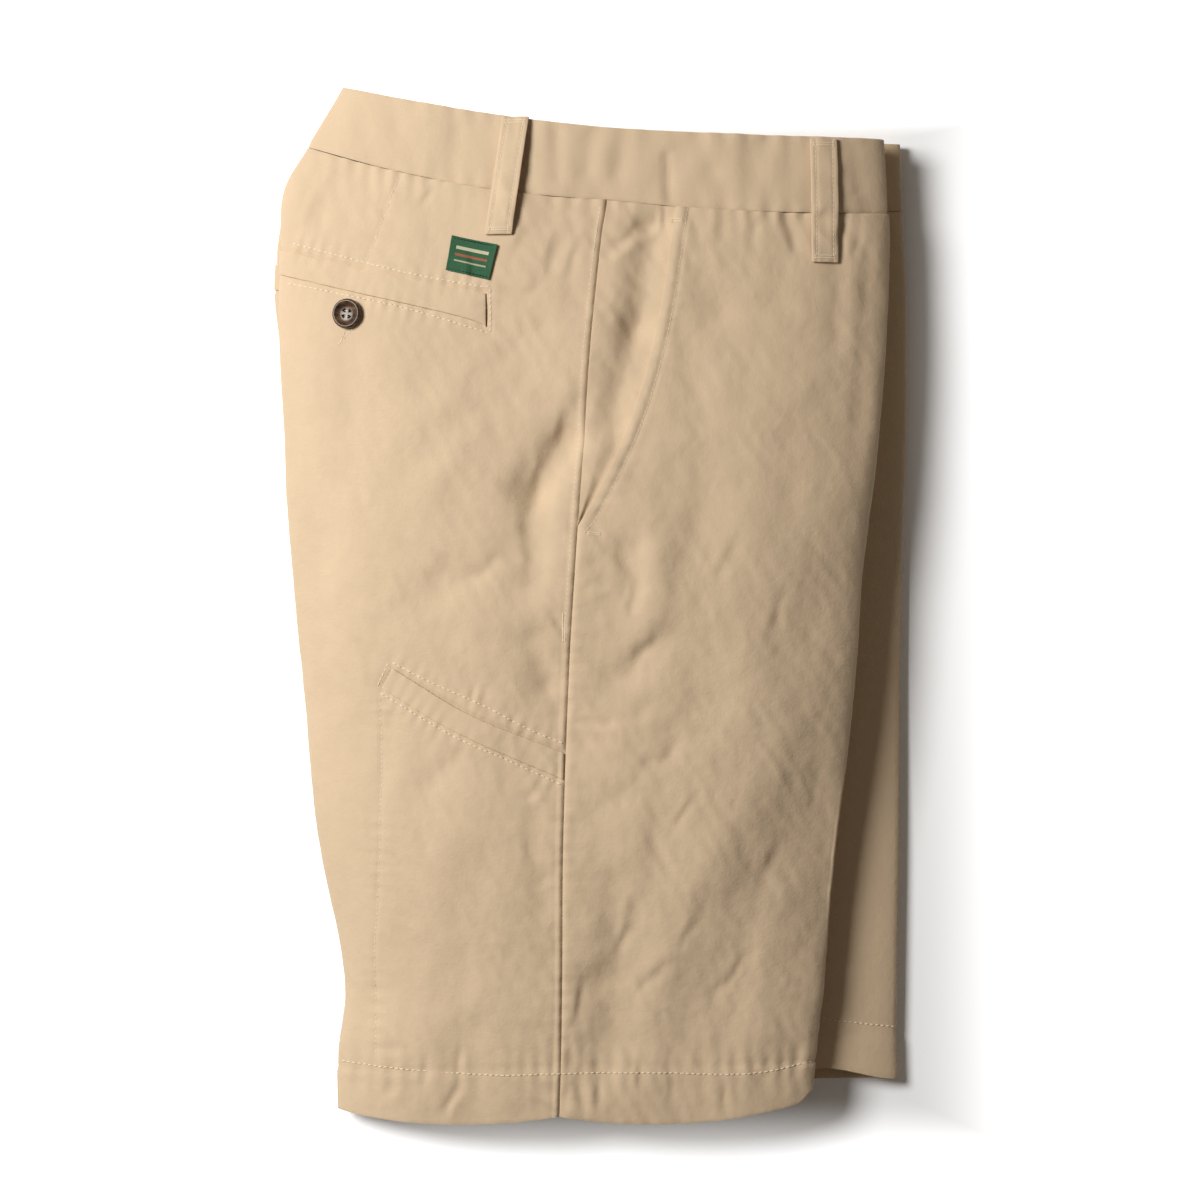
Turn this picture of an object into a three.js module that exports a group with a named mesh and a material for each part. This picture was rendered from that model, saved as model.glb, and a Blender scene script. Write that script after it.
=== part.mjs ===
// Chino shorts lying on their side, folded along the front and back creases.
// The right half lies on the left half. The fly and the seat seam are tucked in between them.
// Waist towards +Y, hems towards -Y, front creases towards +X, up is +Z. Millimetres.
import * as THREE from "three";

// ---------- driving dimensions ----------

const CLOTH_WALL = 1.2; // cotton twill with its turnings, in the panels
const BAND_WALL = 2.4; // waistband, two plies and their turnings
const TRIM_WALL = 1.1; // welts, belt loops and pocket facings
const LABEL_WALL = 0.8;
const SEAM_GAP = 0.3; // between pieces that are sewn to each other
const LAY_GAP = 0.45; // between a panel and what is sewn flat on it
const HALVES_GAP = 0.5; // between the right half and the left half

const PANEL_ACROSS = 9; // cells from a seam to a crease, and again from the crease inwards
const PANEL_ALONG = 19; // cells from hem to waist seam
const BAND_ACROSS = 44;
const BAND_ALONG = 2;

const EDGE_LIFT = 12; // top of the left half where its creases start to round
const MIDDLE_LIFT = 19; // top of the left half under the middle of the right half
const LEFT_ROLL = 0.14; // part of a half width over which a lower crease rolls up
const BUTTON_RADIUS = 7.5;
const BUTTON_HEIGHT = 3.2;

// ---------- small helpers ----------

// Rows of a table become objects with the named columns.
function table(columns, rows) {
  return rows.map((row) => Object.fromEntries(columns.map((name, i) => [name, row[i]])));
}

function mix(a, b, t) {
  return a + (b - a) * t;
}

function clamp(value, low, high) {
  return Math.min(Math.max(value, low), high);
}

function smoothStep(low, high, value) {
  const t = clamp((value - low) / (high - low), 0, 1);
  return t * t * (3 - 2 * t);
}

// A smooth curve through one column of a table, whose knots are the key column.
function curve(rows, key, column, at) {
  const last = rows.length - 1;
  let i = 0;
  while (i < last - 1 && at > rows[i + 1][key]) i += 1;
  const knot = (k) => rows[clamp(k, 0, last)][key];
  const value = (k) => rows[clamp(k, 0, last)][column];
  const slope = (k) => {
    const low = clamp(k - 1, 0, last);
    const high = clamp(k + 1, 0, last);
    return (value(high) - value(low)) / (knot(high) - knot(low));
  };
  const span = knot(i + 1) - knot(i);
  const t = clamp((at - knot(i)) / span, 0, 1);
  const t2 = t * t;
  const t3 = t2 * t;
  return (2 * t3 - 3 * t2 + 1) * value(i) + (t3 - 2 * t2 + t) * span * slope(i)
    + (3 * t2 - 2 * t3) * value(i + 1) + (t3 - t2) * span * slope(i + 1);
}

// ---------- the form of the two halves ----------

// A station is a line across a half, from the back crease over the side seam to the front crease.
// dip: how far the line sags below the straight line, halfway from the side seam to the crease.
const STATION = ["at", "backX", "backY", "backZ", "backDip", "seamX", "height", "topZ",
  "frontDip", "frontX", "frontY", "frontZ"];

const RIGHT = table(STATION, [
  ["hem", -127.9, -255.7, 8, 4.7, -15.6, -255.9, 37, 7, 110.4, -248.9, 26],
  ["cuff", -127.4, -226.3, 8.5, 0, -14.6, -221.2, 41, 0, 112.9, -221.4, 27],
  ["shin", -123.8, -193.3, 9, 0, -14.1, -189, 44, 0, 116.3, -191.2, 28],
  ["knee", -137.4, -119.9, 10.5, 0, -13.6, -119.8, 49, 0, 123.7, -121, 30],
  ["thigh", -146.3, -31.3, 13, 0, -10.6, -32.2, 53, 0, 132.6, -33.5, 32],
  ["fork", -151.7, 21.7, 15, 0, -7.4, 21.3, 55, 0, 136.5, 21.5, 33],
  ["rise", -155.2, 87.2, 16.5, 0, -3.7, 75.7, 54, 0, 143, 76.4, 33],
  ["hip", -157, 137.6, 17.5, 2, -0.2, 127.7, 52, 1, 147.6, 128.9, 31.5],
  ["pocket", -156.1, 180.5, 18, 4, 3.2, 162.3, 50, 2, 149.3, 164.1, 29],
  ["yoke", -154, 208.1, 18.5, 5, 5.7, 184.6, 48, 2.5, 149.4, 184.3, 27.5],
  ["seam", -142.4, 229.2, 19, 6, 8.2, 200, 46, 2.9, 149, 194.9, 26.5],
  ["top", -124.7, 259.4, 19, 3, 8.7, 236.1, 43, 1.2, 146.6, 232.1, 25.5],
]);

const LEFT = table(STATION, [
  ["hem", -86.5, -247.8, 6, 0, 34.5, -243, 0, 0, 155.5, -240.8, 6],
  ["cuff", -87.5, -221.5, 6, 0, 33.5, -219, 0, 0, 155, -218.6, 6],
  ["shin", -90.6, -193.6, 6, 0, 32, -190, 0, 0, 155.4, -188.2, 6],
  ["knee", -104.3, -120.1, 6, 0, 26, -120, 0, 0, 156.4, -119.9, 6],
  ["thigh", -124.5, -31.4, 6, 0, 16, -32, 0, 0, 156.8, -33.9, 6],
  ["fork", -136.2, 21.8, 6, 0, 11, 21.5, 0, 0, 157.8, 21.7, 6],
  ["rise", -149.4, 87.7, 6, 0, 6, 80, 0, 0, 159.7, 82.3, 6],
  ["hip", -158.5, 138.3, 6, 2, 2, 128, 0, 1, 160, 130.3, 6],
  ["pocket", -160, 168.6, 6, 3, 4, 160, 0, 2, 159.5, 165.7, 6],
  ["yoke", -153.7, 209, 6, 4, 8, 184, 0, 2, 158.2, 188.4, 6],
  ["seam", -144.1, 229.2, 6, 5, 10, 200, 0, 2, 158, 198.2, 6],
  ["top", -126.9, 258.6, 6, 3, 12, 235, 0, 1, 156.7, 232.3, 6],
]);

// The edges of the hidden inner layers above the fork: centre front and centre back.
const RISE = table(["height", "centreFront", "centreBack"], [
  [-8, 4, 4],
  [14, 16, -8],
  [45, 36, -24],
  [85, 52, -36],
  [140, 60, -42],
  [236, 64, -44],
]);
const FORK_HEIGHT = RISE[0].height;

// The largest folds of the right half: a soft trough from one place to another, negative for a ridge.
const FOLDS = table(["fromX", "fromY", "toX", "toY", "reach", "depth"], [
  [-14, 82, -31, 55, 9, 2.6],
  [-31, 55, -31, 10, 10, 2.2],
  [-42, 24, -78, 4, 10, 1.6],
  [-35, 113, -88, 70, 13, 1.2],
  [21, 26, 21, 8, 9, 2],
  [31, 24, 31, -12, 9, -1.6],
  [36, -18, 14, -38, 9, 1.6],
  [86, 30, 86, -46, 20, -2.2],
  [86, -46, 62, -95, 18, -1.8],
  [4, -190, 5, -232, 10, 2.6],
  [-60, -215, -58, -256, 12, 1.8],
  [52, -200, 46, -256, 16, 1.2],
]);

// What the cloth gives way to on the underside, so that nothing reaches below the ground.
const LEFT_BUTTON = { x: -119, y: 142, reach: 75, height: 3.2 };
const LEFT_TRIM = { start: 60, full: 150, height: 2.2 };

function foldRelief(x, y) {
  let relief = 0;
  for (const fold of FOLDS) {
    const dx = fold.toX - fold.fromX;
    const dy = fold.toY - fold.fromY;
    const t = clamp(((x - fold.fromX) * dx + (y - fold.fromY) * dy) / (dx * dx + dy * dy), 0, 1);
    const away = Math.hypot(x - fold.fromX - t * dx, y - fold.fromY - t * dy) / fold.reach;
    relief -= fold.depth * Math.exp(-away * away);
  }
  return relief;
}

// Plan of a station line: side is -1 at the back crease, 0 at the side seam, 1 at the front crease.
function planPoint(half, side, height) {
  const at = (column) => curve(half, "height", column, height);
  const part = Math.abs(side);
  const crease = side < 0 ? "back" : "front";
  const sag = 4 * part * (1 - part) * at(`${crease}Dip`);
  return {
    x: mix(at("seamX"), at(`${crease}X`), part),
    y: mix(height, at(`${crease}Y`), part) - sag,
  };
}

function sideOf(half, x, height) {
  const at = (column) => curve(half, "height", column, height);
  const seam = at("seamX");
  return x < seam ? (x - seam) / (seam - at("backX")) : (x - seam) / (at("frontX") - seam);
}

// The side and height at which a half has a given plan point.
function locate(half, x, y) {
  let height = y;
  let side = sideOf(half, x, height);
  for (let turn = 0; turn < 30; turn += 1) {
    height += y - planPoint(half, side, height).y;
    side = sideOf(half, x, height);
  }
  return { around: side, height };
}

// The surface on which the right half rests on the left half.
function restHeight(x, y) {
  const { around } = locate(LEFT, x, y);
  const away = Math.abs(around);
  const arch = EDGE_LIFT + (MIDDLE_LIFT - EDGE_LIFT) * Math.max(0, 1 - away * away);
  return arch - (EDGE_LIFT - 2) * smoothStep(1, 1.3, away);
}

// A point on the garment's outer face. around runs from -1 to 1 on the side that holds the side
// seam, and on past the creases, to -2 or 2, on the side that faces the other half.
function facePoint(half, around, height) {
  const inner = Math.abs(around) > 1;
  const side = inner ? Math.sign(around) * (2 - Math.abs(around)) : around;
  const part = Math.min(Math.abs(side), 1);
  const { x, y } = planPoint(half, side, height);
  const at = (column) => curve(half, "height", column, height);
  const crease = mix(at("backZ"), at("frontZ"), (side + 1) / 2);
  if (half === RIGHT && !inner) {
    const fullness = side < 0 ? 2.3 : 3.8;
    const dome = (1 - part ** fullness) ** 0.75;
    return new THREE.Vector3(x, y, mix(crease, at("topZ"), dome) + foldRelief(x, y) * dome);
  }
  if (half === RIGHT) {
    const settle = Math.sqrt(1 - part ** 3.2);
    return new THREE.Vector3(x, y, mix(crease, restHeight(x, y) + HALVES_GAP / 2, settle));
  }
  if (inner) {
    const settle = Math.sqrt(1 - part ** 6);
    return new THREE.Vector3(x, y, mix(crease, restHeight(x, y) - HALVES_GAP / 2, settle));
  }
  const roll = clamp((part - 1 + LEFT_ROLL) / LEFT_ROLL, 0, 1);
  const buttonAway = Math.hypot(x - LEFT_BUTTON.x, y - LEFT_BUTTON.y);
  const give = LEFT_BUTTON.height * (1 - smoothStep(0, LEFT_BUTTON.reach, buttonAway))
    + LEFT_TRIM.height * smoothStep(LEFT_TRIM.start, LEFT_TRIM.full, y);
  const lift = Math.min(give, crease);
  return new THREE.Vector3(x, y, mix(crease, lift, Math.sqrt(1 - roll * roll)));
}

const NORMAL_STEP = 0.012; // in around
const NORMAL_REACH = 1.5; // in height

function faceNormal(half, around, height) {
  const low = facePoint(half, around - NORMAL_STEP, height);
  const high = facePoint(half, around + NORMAL_STEP, height);
  const below = facePoint(half, around, height - NORMAL_REACH);
  const above = facePoint(half, around, height + NORMAL_REACH);
  const normal = high.sub(low).cross(above.sub(below)).normalize();
  return half === RIGHT ? normal : normal.negate();
}

// A point moved out from the face, or in for a negative lift.
function liftedPoint(half, around, height, lift) {
  return facePoint(half, around, height).addScaledVector(faceNormal(half, around, height), lift);
}

// ---------- making sheets ----------

// A closed wall from two grids of points, its outer face and its inner face.
function wallGeometry(outer, inner) {
  const rows = outer.length;
  const columns = outer[0].length;
  const positions = [];
  for (const grid of [outer, inner]) {
    for (const row of grid) {
      for (const point of row) positions.push(point.x, point.y, point.z);
    }
  }
  const index = [];
  const layer = rows * columns;
  const id = (side, i, j) => side * layer + i * columns + j;
  const quad = (a, b, c, d) => index.push(a, b, c, a, c, d);
  for (let i = 0; i + 1 < rows; i += 1) {
    for (let j = 0; j + 1 < columns; j += 1) {
      quad(id(0, i, j), id(0, i, j + 1), id(0, i + 1, j + 1), id(0, i + 1, j));
      quad(id(1, i, j), id(1, i + 1, j), id(1, i + 1, j + 1), id(1, i, j + 1));
    }
  }
  for (let j = 0; j + 1 < columns; j += 1) {
    quad(id(0, 0, j), id(1, 0, j), id(1, 0, j + 1), id(0, 0, j + 1));
    quad(id(0, rows - 1, j + 1), id(1, rows - 1, j + 1), id(1, rows - 1, j), id(0, rows - 1, j));
  }
  for (let i = 0; i + 1 < rows; i += 1) {
    quad(id(0, i + 1, 0), id(1, i + 1, 0), id(1, i, 0), id(0, i, 0));
    quad(id(0, i, columns - 1), id(1, i, columns - 1), id(1, i + 1, columns - 1),
      id(0, i + 1, columns - 1));
  }
  const geometry = new THREE.BufferGeometry();
  geometry.setAttribute("position", new THREE.Float32BufferAttribute(positions, 3));
  geometry.setIndex(signedVolume(positions, index) < 0 ? reversed(index) : index);
  geometry.computeVertexNormals();
  return geometry;
}

function signedVolume(positions, index) {
  const corner = (k) => new THREE.Vector3().fromArray(positions, 3 * k);
  let volume = 0;
  for (let k = 0; k < index.length; k += 3) {
    const a = corner(index[k]);
    volume += a.dot(corner(index[k + 1]).cross(corner(index[k + 2])));
  }
  return volume / 6;
}

function reversed(index) {
  const turned = [];
  for (let k = 0; k < index.length; k += 3) turned.push(index[k], index[k + 2], index[k + 1]);
  return turned;
}

// A wall that follows a half's face. place(a, b) gives { around, height, lift } for a and b from 0 to 1.
// lift is the height of the wall's outer face over the half's face.
function followingWall(half, across, along, wall, place) {
  const outer = [];
  const inner = [];
  for (let i = 0; i <= along; i += 1) {
    const outerRow = [];
    const innerRow = [];
    for (let j = 0; j <= across; j += 1) {
      const { around, height, lift } = place(j / across, i / along);
      outerRow.push(liftedPoint(half, around, height, lift));
      innerRow.push(liftedPoint(half, around, height, lift - wall));
    }
    outer.push(outerRow);
    inner.push(innerRow);
  }
  return wallGeometry(outer, inner);
}

// A wall over the four plan corners: start and end of its upper edge, start and end of its lower edge.
function plannedWall(half, across, along, wall, corners, liftAt) {
  return followingWall(half, across, along, wall, (a, b) => {
    const x = mix(mix(corners.lowStart[0], corners.lowEnd[0], a),
      mix(corners.highStart[0], corners.highEnd[0], a), b);
    const y = mix(mix(corners.lowStart[1], corners.lowEnd[1], a),
      mix(corners.highStart[1], corners.highEnd[1], a), b);
    return { ...locate(half, x, y), lift: liftAt(a, b) + wall };
  });
}

// ---------- the panels ----------

const MOUTH = { width: 34, top: 176, bottom: 38, bend: 2.2 }; // slant pocket opening
const FACING_UNDERLAP = 9;
const WAIST_SEAM = RIGHT[RIGHT.length - 2].height;

// How far in front of the side seam the slant pocket's edge lies, in millimetres.
function mouthWidth(height) {
  const down = clamp((MOUTH.top - height) / (MOUTH.top - MOUTH.bottom), 0, 1);
  return MOUTH.width * (1 - down ** MOUTH.bend);
}

// Inseam of a leg, from the fork to the middle of its hem.
function inseamX(half, height) {
  const hem = half[0];
  const t = clamp((height - hem.height) / (FORK_HEIGHT - hem.height), 0, 1);
  return mix(hem.seamX + 4, RISE[0].centreFront, t);
}

function innerEdgeX(half, front, height) {
  if (height <= FORK_HEIGHT) return inseamX(half, height);
  return curve(RISE, "height", front ? "centreFront" : "centreBack", height);
}

function halfWidth(half, front, height) {
  const at = (column) => curve(half, "height", column, height);
  return front ? at("frontX") - at("seamX") : at("seamX") - at("backX");
}

// Where a panel is at a part of its way from the side seam, over the crease, to its inner edge.
function panelAround(half, front, height, way) {
  const sign = front ? 1 : -1;
  const gap = SEAM_GAP / 2 / halfWidth(half, front, height);
  const start = gap + (front ? mouthWidth(height) / halfWidth(half, front, height) : 0);
  const end = sign * sideOf(half, innerEdgeX(half, front, height), height) + gap;
  const spread = Math.sin(Math.PI / 2 * Math.min(2 * way, 2 - 2 * way));
  return sign * (way <= 0.5 ? mix(start, 1, spread) : 2 - mix(end, 1, spread));
}

function panel(half, front) {
  const low = half[0].height;
  const high = WAIST_SEAM - SEAM_GAP / 2;
  return followingWall(half, 2 * PANEL_ACROSS, PANEL_ALONG, CLOTH_WALL, (a, b) => {
    const height = mix(low, high, b);
    return { around: panelAround(half, front, height, a), height, lift: 0 };
  });
}

function waistband(half) {
  const low = WAIST_SEAM + SEAM_GAP / 2;
  const high = half[half.length - 1].height;
  return followingWall(half, BAND_ACROSS, BAND_ALONG, BAND_WALL, (a, b) => {
    const height = mix(low, high, b);
    const back = sideOf(half, innerEdgeX(half, false, height), height);
    const front = sideOf(half, innerEdgeX(half, true, height), height);
    const quarter = Math.floor(a * 4);
    const t = a * 4 - quarter;
    const crowded = Math.sin(Math.PI / 2 * t);
    const thinned = 1 - Math.cos(Math.PI / 2 * t);
    const stretches = [
      () => -2 - mix(back, -1, crowded),
      () => -1 + thinned,
      () => crowded,
      () => 2 - mix(1, front, thinned),
    ];
    const around = quarter > 3 ? 2 - front : stretches[quarter]();
    return { around, height, lift: 0 };
  });
}

// The part of the pocket's inside that shows between the slanted edge and the side seam.
function pocketFacing(half) {
  const under = -CLOTH_WALL - SEAM_GAP;
  return followingWall(half, 3, 10, TRIM_WALL, (a, b) => {
    const height = mix(MOUTH.bottom + 6, WAIST_SEAM - 1, b);
    const width = halfWidth(half, true, height);
    const around = mix(0.4, mouthWidth(height) + FACING_UNDERLAP, a) / width;
    return { around, height, lift: under };
  });
}

// ---------- what is sewn on ----------

// Places on the right half, in plan. Belt loops: middle of the upper and the lower end.
const LOOP_WIDTH = 13.5;
const LOOPS = table(["name", "highX", "highY", "lowX", "lowY", "arch"], [
  ["front", 115.6, 231, 116.4, 169, 1.2],
  ["side_back", -37, 241.5, -45.5, 182, 2.6],
]);

// Back pocket: a welt that runs on round the back crease. Its edges climb towards the crease.
const BACK_WELT = {
  frontX: -52, frontHighY: 153.3, frontLowY: 136.8, highClimb: 9, lowClimb: 15.2, highBend: 1, lowBend: 0.6,
};
const WELT_STATIONS = { first: 2, last: 11 }; // columns of the back panel that it shares
const BACK_BUTTON = { x: -120.5, y: 143.9 };
const LABEL_CORNERS = {
  highStart: [-68.6, 182.2], highEnd: [-45.8, 177.1], lowStart: [-71.6, 165], lowEnd: [-50.2, 159.8],
};
const THIGH_WELT = {
  highStart: [-98.5, -32.5], highMiddle: [-60.6, -55], highEnd: [-13, -74.5],
  lowStart: [-104.4, -42.5], lowMiddle: [-68, -63.5], lowEnd: [-14.2, -88],
};

function beltLoop(half, loop) {
  const reach = LOOP_WIDTH / 2;
  const corners = {
    highStart: [loop.highX - reach, loop.highY], highEnd: [loop.highX + reach, loop.highY],
    lowStart: [loop.lowX - reach, loop.lowY], lowEnd: [loop.lowX + reach, loop.lowY],
  };
  const arch = half === RIGHT ? loop.arch : 0;
  return plannedWall(half, 2, 8, TRIM_WALL, corners, (a, b) => LAY_GAP + arch * Math.sin(Math.PI * b));
}

function backWelt(half) {
  const high = locate(half, BACK_WELT.frontX, BACK_WELT.frontHighY);
  const low = locate(half, BACK_WELT.frontX, BACK_WELT.frontLowY);
  const across = WELT_STATIONS.last - WELT_STATIONS.first;
  return followingWall(half, across, 2, TRIM_WALL, (a, b) => {
    const column = WELT_STATIONS.first + Math.round(a * across);
    const start = mix(low.around, high.around, b);
    const around = a === 0 ? start : panelAround(half, false, high.height, column / 2 / PANEL_ACROSS);
    const way = Math.min(1, (around - start) / (-1 - start));
    const lowHeight = low.height + BACK_WELT.lowClimb * way ** BACK_WELT.lowBend;
    const highHeight = high.height + BACK_WELT.highClimb * way ** BACK_WELT.highBend;
    return { around, height: mix(lowHeight, highHeight, b), lift: LAY_GAP + TRIM_WALL };
  });
}

function thighWelt() {
  const bow = (start, middle, end, a) => {
    const straight = mix(start, end, a);
    const sag = middle - mix(start, end, 0.45);
    return straight + sag * 4 * a * (1 - a);
  };
  return followingWall(RIGHT, 6, 1, TRIM_WALL, (a, b) => {
    const point = [0, 1].map((k) => mix(
      bow(THIGH_WELT.lowStart[k], THIGH_WELT.lowMiddle[k], THIGH_WELT.lowEnd[k], a),
      bow(THIGH_WELT.highStart[k], THIGH_WELT.highMiddle[k], THIGH_WELT.highEnd[k], a), b));
    return { ...locate(RIGHT, point[0], point[1]), lift: LAY_GAP + TRIM_WALL };
  });
}

// A turned horn button with a raised rim and a dished middle.
function buttonMesh(half, place, lift) {
  const top = BUTTON_HEIGHT;
  const r = BUTTON_RADIUS;
  const outline = [
    [0, 0], [r * 0.72, 0], [r, top * 0.5], [r * 0.94, top * 0.9], [r * 0.8, top], [r * 0.66, top * 0.82],
    [r * 0.55, top * 0.72], [0, top * 0.72],
  ];
  const geometry = new THREE.LatheGeometry(outline.map(([x, y]) => new THREE.Vector2(x, y)), 20);
  const mesh = new THREE.Mesh(geometry);
  const normal = faceNormal(half, place.around, place.height);
  mesh.position.copy(liftedPoint(half, place.around, place.height, lift));
  mesh.quaternion.setFromUnitVectors(new THREE.Vector3(0, 1, 0), normal);
  return mesh;
}

// ---------- the garment ----------

const twill = { color: 0xe0c8a4, roughness: 0.9, metalness: 0 };
const finishes = {
  panel: twill,
  band: { ...twill, color: 0xe2caa7 },
  trim: { ...twill, color: 0xddc49f },
  horn: { color: 0x4a3222, roughness: 0.35, metalness: 0 },
  label: { color: 0x2c6040, roughness: 0.7, metalness: 0 },
};

const garment = new THREE.Group();

function add(name, geometry, finish) {
  const mesh = new THREE.Mesh(geometry, new THREE.MeshStandardMaterial(finishes[finish]));
  mesh.name = name;
  garment.add(mesh);
  return mesh;
}

for (const [side, half] of [["right", RIGHT], ["left", LEFT]]) {
  add(`front_${side}`, panel(half, true), "panel");
  add(`back_${side}`, panel(half, false), "panel");
  add(`waistband_${side}`, waistband(half), "band");
  add(`pocket_facing_${side}`, pocketFacing(half), "trim");
  add(`back_welt_${side}`, backWelt(half), "trim");
  for (const loop of LOOPS) add(`loop_${loop.name}_${side}`, beltLoop(half, loop), "trim");
  const place = locate(half, side === "right" ? BACK_BUTTON.x : LEFT_BUTTON.x,
    side === "right" ? BACK_BUTTON.y : LEFT_BUTTON.y);
  const button = buttonMesh(half, place, LAY_GAP + 0.5);
  button.name = `back_button_${side}`;
  button.material = new THREE.MeshStandardMaterial(finishes.horn);
  garment.add(button);
}
add("thigh_welt_right", thighWelt(), "trim");
add("label_right", plannedWall(RIGHT, 3, 2, LABEL_WALL, LABEL_CORNERS, () => LAY_GAP), "label");

// The origin is the middle of the bottom of the garment's box.
const box = new THREE.Box3().setFromObject(garment);
const middle = box.getCenter(new THREE.Vector3());
garment.position.set(-middle.x, -middle.y, -box.min.z);

export default garment;
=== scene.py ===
"""Tan cotton chino shorts lying on their side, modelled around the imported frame."""
import math

import bmesh
import bpy
import numpy as np
from bpy.props import FloatProperty, FloatVectorProperty, PointerProperty
from mathutils import Matrix, Vector, noise


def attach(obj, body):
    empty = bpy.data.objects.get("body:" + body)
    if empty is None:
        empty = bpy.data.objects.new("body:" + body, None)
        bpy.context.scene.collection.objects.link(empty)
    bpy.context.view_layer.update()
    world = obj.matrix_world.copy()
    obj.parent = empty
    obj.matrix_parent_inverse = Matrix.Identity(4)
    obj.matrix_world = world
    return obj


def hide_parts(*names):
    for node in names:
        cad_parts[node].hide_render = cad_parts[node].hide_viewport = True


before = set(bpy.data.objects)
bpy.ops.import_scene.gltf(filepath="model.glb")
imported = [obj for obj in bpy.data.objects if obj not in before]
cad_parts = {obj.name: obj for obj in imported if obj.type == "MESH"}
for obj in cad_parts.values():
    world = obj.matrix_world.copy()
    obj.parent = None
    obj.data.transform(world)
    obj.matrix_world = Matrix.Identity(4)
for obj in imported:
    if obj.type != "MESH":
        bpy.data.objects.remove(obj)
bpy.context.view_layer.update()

bl_info = {
    "name": "Chino shorts",
    "version": (1, 0, 0),
    "blender": (4, 5, 0),
    "location": "View3D > Sidebar > Shorts",
    "description": "Builds folded cotton chino shorts, piece by piece",
    "category": "Add Mesh",
}

MM = 0.001  # the form is worked out in millimetres
BODY = "root"

# ---------- the form of the two halves ----------

ORIGIN = (0.95, 0.55)  # from the pattern's plan to the frame, in millimetres
EDGE_LIFT = 12.0  # top of the left half where its creases start to round
MIDDLE_LIFT = 19.0  # top of the left half under the middle of the right half
LEFT_ROLL = 0.14
HALVES_GAP = 0.5
LEFT_BUTTON = {"x": -119.0, "y": 142.0, "reach": 75.0, "height": 3.2}
LEFT_TRIM = {"start": 60.0, "full": 150.0, "height": 2.2}

# A station is a line from the back crease over the side seam to the front crease.
STATION = ("backX", "backY", "backZ", "backDip", "seamX", "height", "topZ",
           "frontDip", "frontX", "frontY", "frontZ")
RIGHT_ROWS = (
    (-127.9, -255.7, 8, 4.7, -15.6, -255.9, 37, 7, 110.4, -248.9, 26),
    (-127.4, -226.3, 8.5, 0, -14.6, -221.2, 41, 0, 112.9, -221.4, 27),
    (-123.8, -193.3, 9, 0, -14.1, -189, 44, 0, 116.3, -191.2, 28),
    (-137.4, -119.9, 10.5, 0, -13.6, -119.8, 49, 0, 123.7, -121, 30),
    (-146.3, -31.3, 13, 0, -10.6, -32.2, 53, 0, 132.6, -33.5, 32),
    (-151.7, 21.7, 15, 0, -7.4, 21.3, 55, 0, 136.5, 21.5, 33),
    (-155.2, 87.2, 16.5, 0, -3.7, 75.7, 54, 0, 143, 76.4, 33),
    (-157, 137.6, 17.5, 2, -0.2, 127.7, 52, 1, 147.6, 128.9, 31.5),
    (-156.1, 180.5, 18, 4, 3.2, 162.3, 50, 2, 149.3, 164.1, 29),
    (-154, 208.1, 18.5, 5, 5.7, 184.6, 48, 2.5, 149.4, 184.3, 27.5),
    (-142.4, 229.2, 19, 6, 8.2, 200, 46, 2.9, 149, 194.9, 26.5),
    (-124.7, 259.4, 19, 3, 8.7, 236.1, 43, 1.2, 146.6, 232.1, 25.5),
)
LEFT_ROWS = (
    (-86.5, -247.8, 6, 0, 34.5, -243, 0, 0, 155.5, -240.8, 6),
    (-87.5, -221.5, 6, 0, 33.5, -219, 0, 0, 155, -218.6, 6),
    (-90.6, -193.6, 6, 0, 32, -190, 0, 0, 155.4, -188.2, 6),
    (-104.3, -120.1, 6, 0, 26, -120, 0, 0, 156.4, -119.9, 6),
    (-124.5, -31.4, 6, 0, 16, -32, 0, 0, 156.8, -33.9, 6),
    (-136.2, 21.8, 6, 0, 11, 21.5, 0, 0, 157.8, 21.7, 6),
    (-149.4, 87.7, 6, 0, 6, 80, 0, 0, 159.7, 82.3, 6),
    (-158.5, 138.3, 6, 2, 2, 128, 0, 1, 160, 130.3, 6),
    (-160, 168.6, 6, 3, 4, 160, 0, 2, 159.5, 165.7, 6),
    (-153.7, 209, 6, 4, 8, 184, 0, 2, 158.2, 188.4, 6),
    (-144.1, 229.2, 6, 5, 10, 200, 0, 2, 158, 198.2, 6),
    (-126.9, 258.6, 6, 3, 12, 235, 0, 1, 156.7, 232.3, 6),
)
# Centre front and centre back above the fork: height, front edge, back edge.
RISE_ROWS = ((-8, 4, 4), (14, 16, -8), (45, 36, -24), (85, 52, -36), (140, 60, -42), (236, 64, -44))

# Soft troughs, or ridges where the depth is negative: from x, y to x, y, reach, depth.
FOLDS = (
    (-14, 82, -31, 55, 9, 2.6), (-31, 55, -31, 10, 10, 2.2), (-42, 24, -78, 4, 10, 1.6),
    (-35, 113, -88, 70, 13, 1.2), (21, 26, 21, 8, 9, 2), (31, 24, 31, -12, 9, -1.6),
    (36, -18, 14, -38, 9, 1.6), (86, 30, 86, -46, 20, -2.2), (86, -46, 62, -95, 18, -1.8),
    (4, -190, 5, -232, 10, 2.6), (-60, -215, -58, -256, 12, 1.8), (52, -200, 46, -256, 16, 1.2),
)
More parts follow.
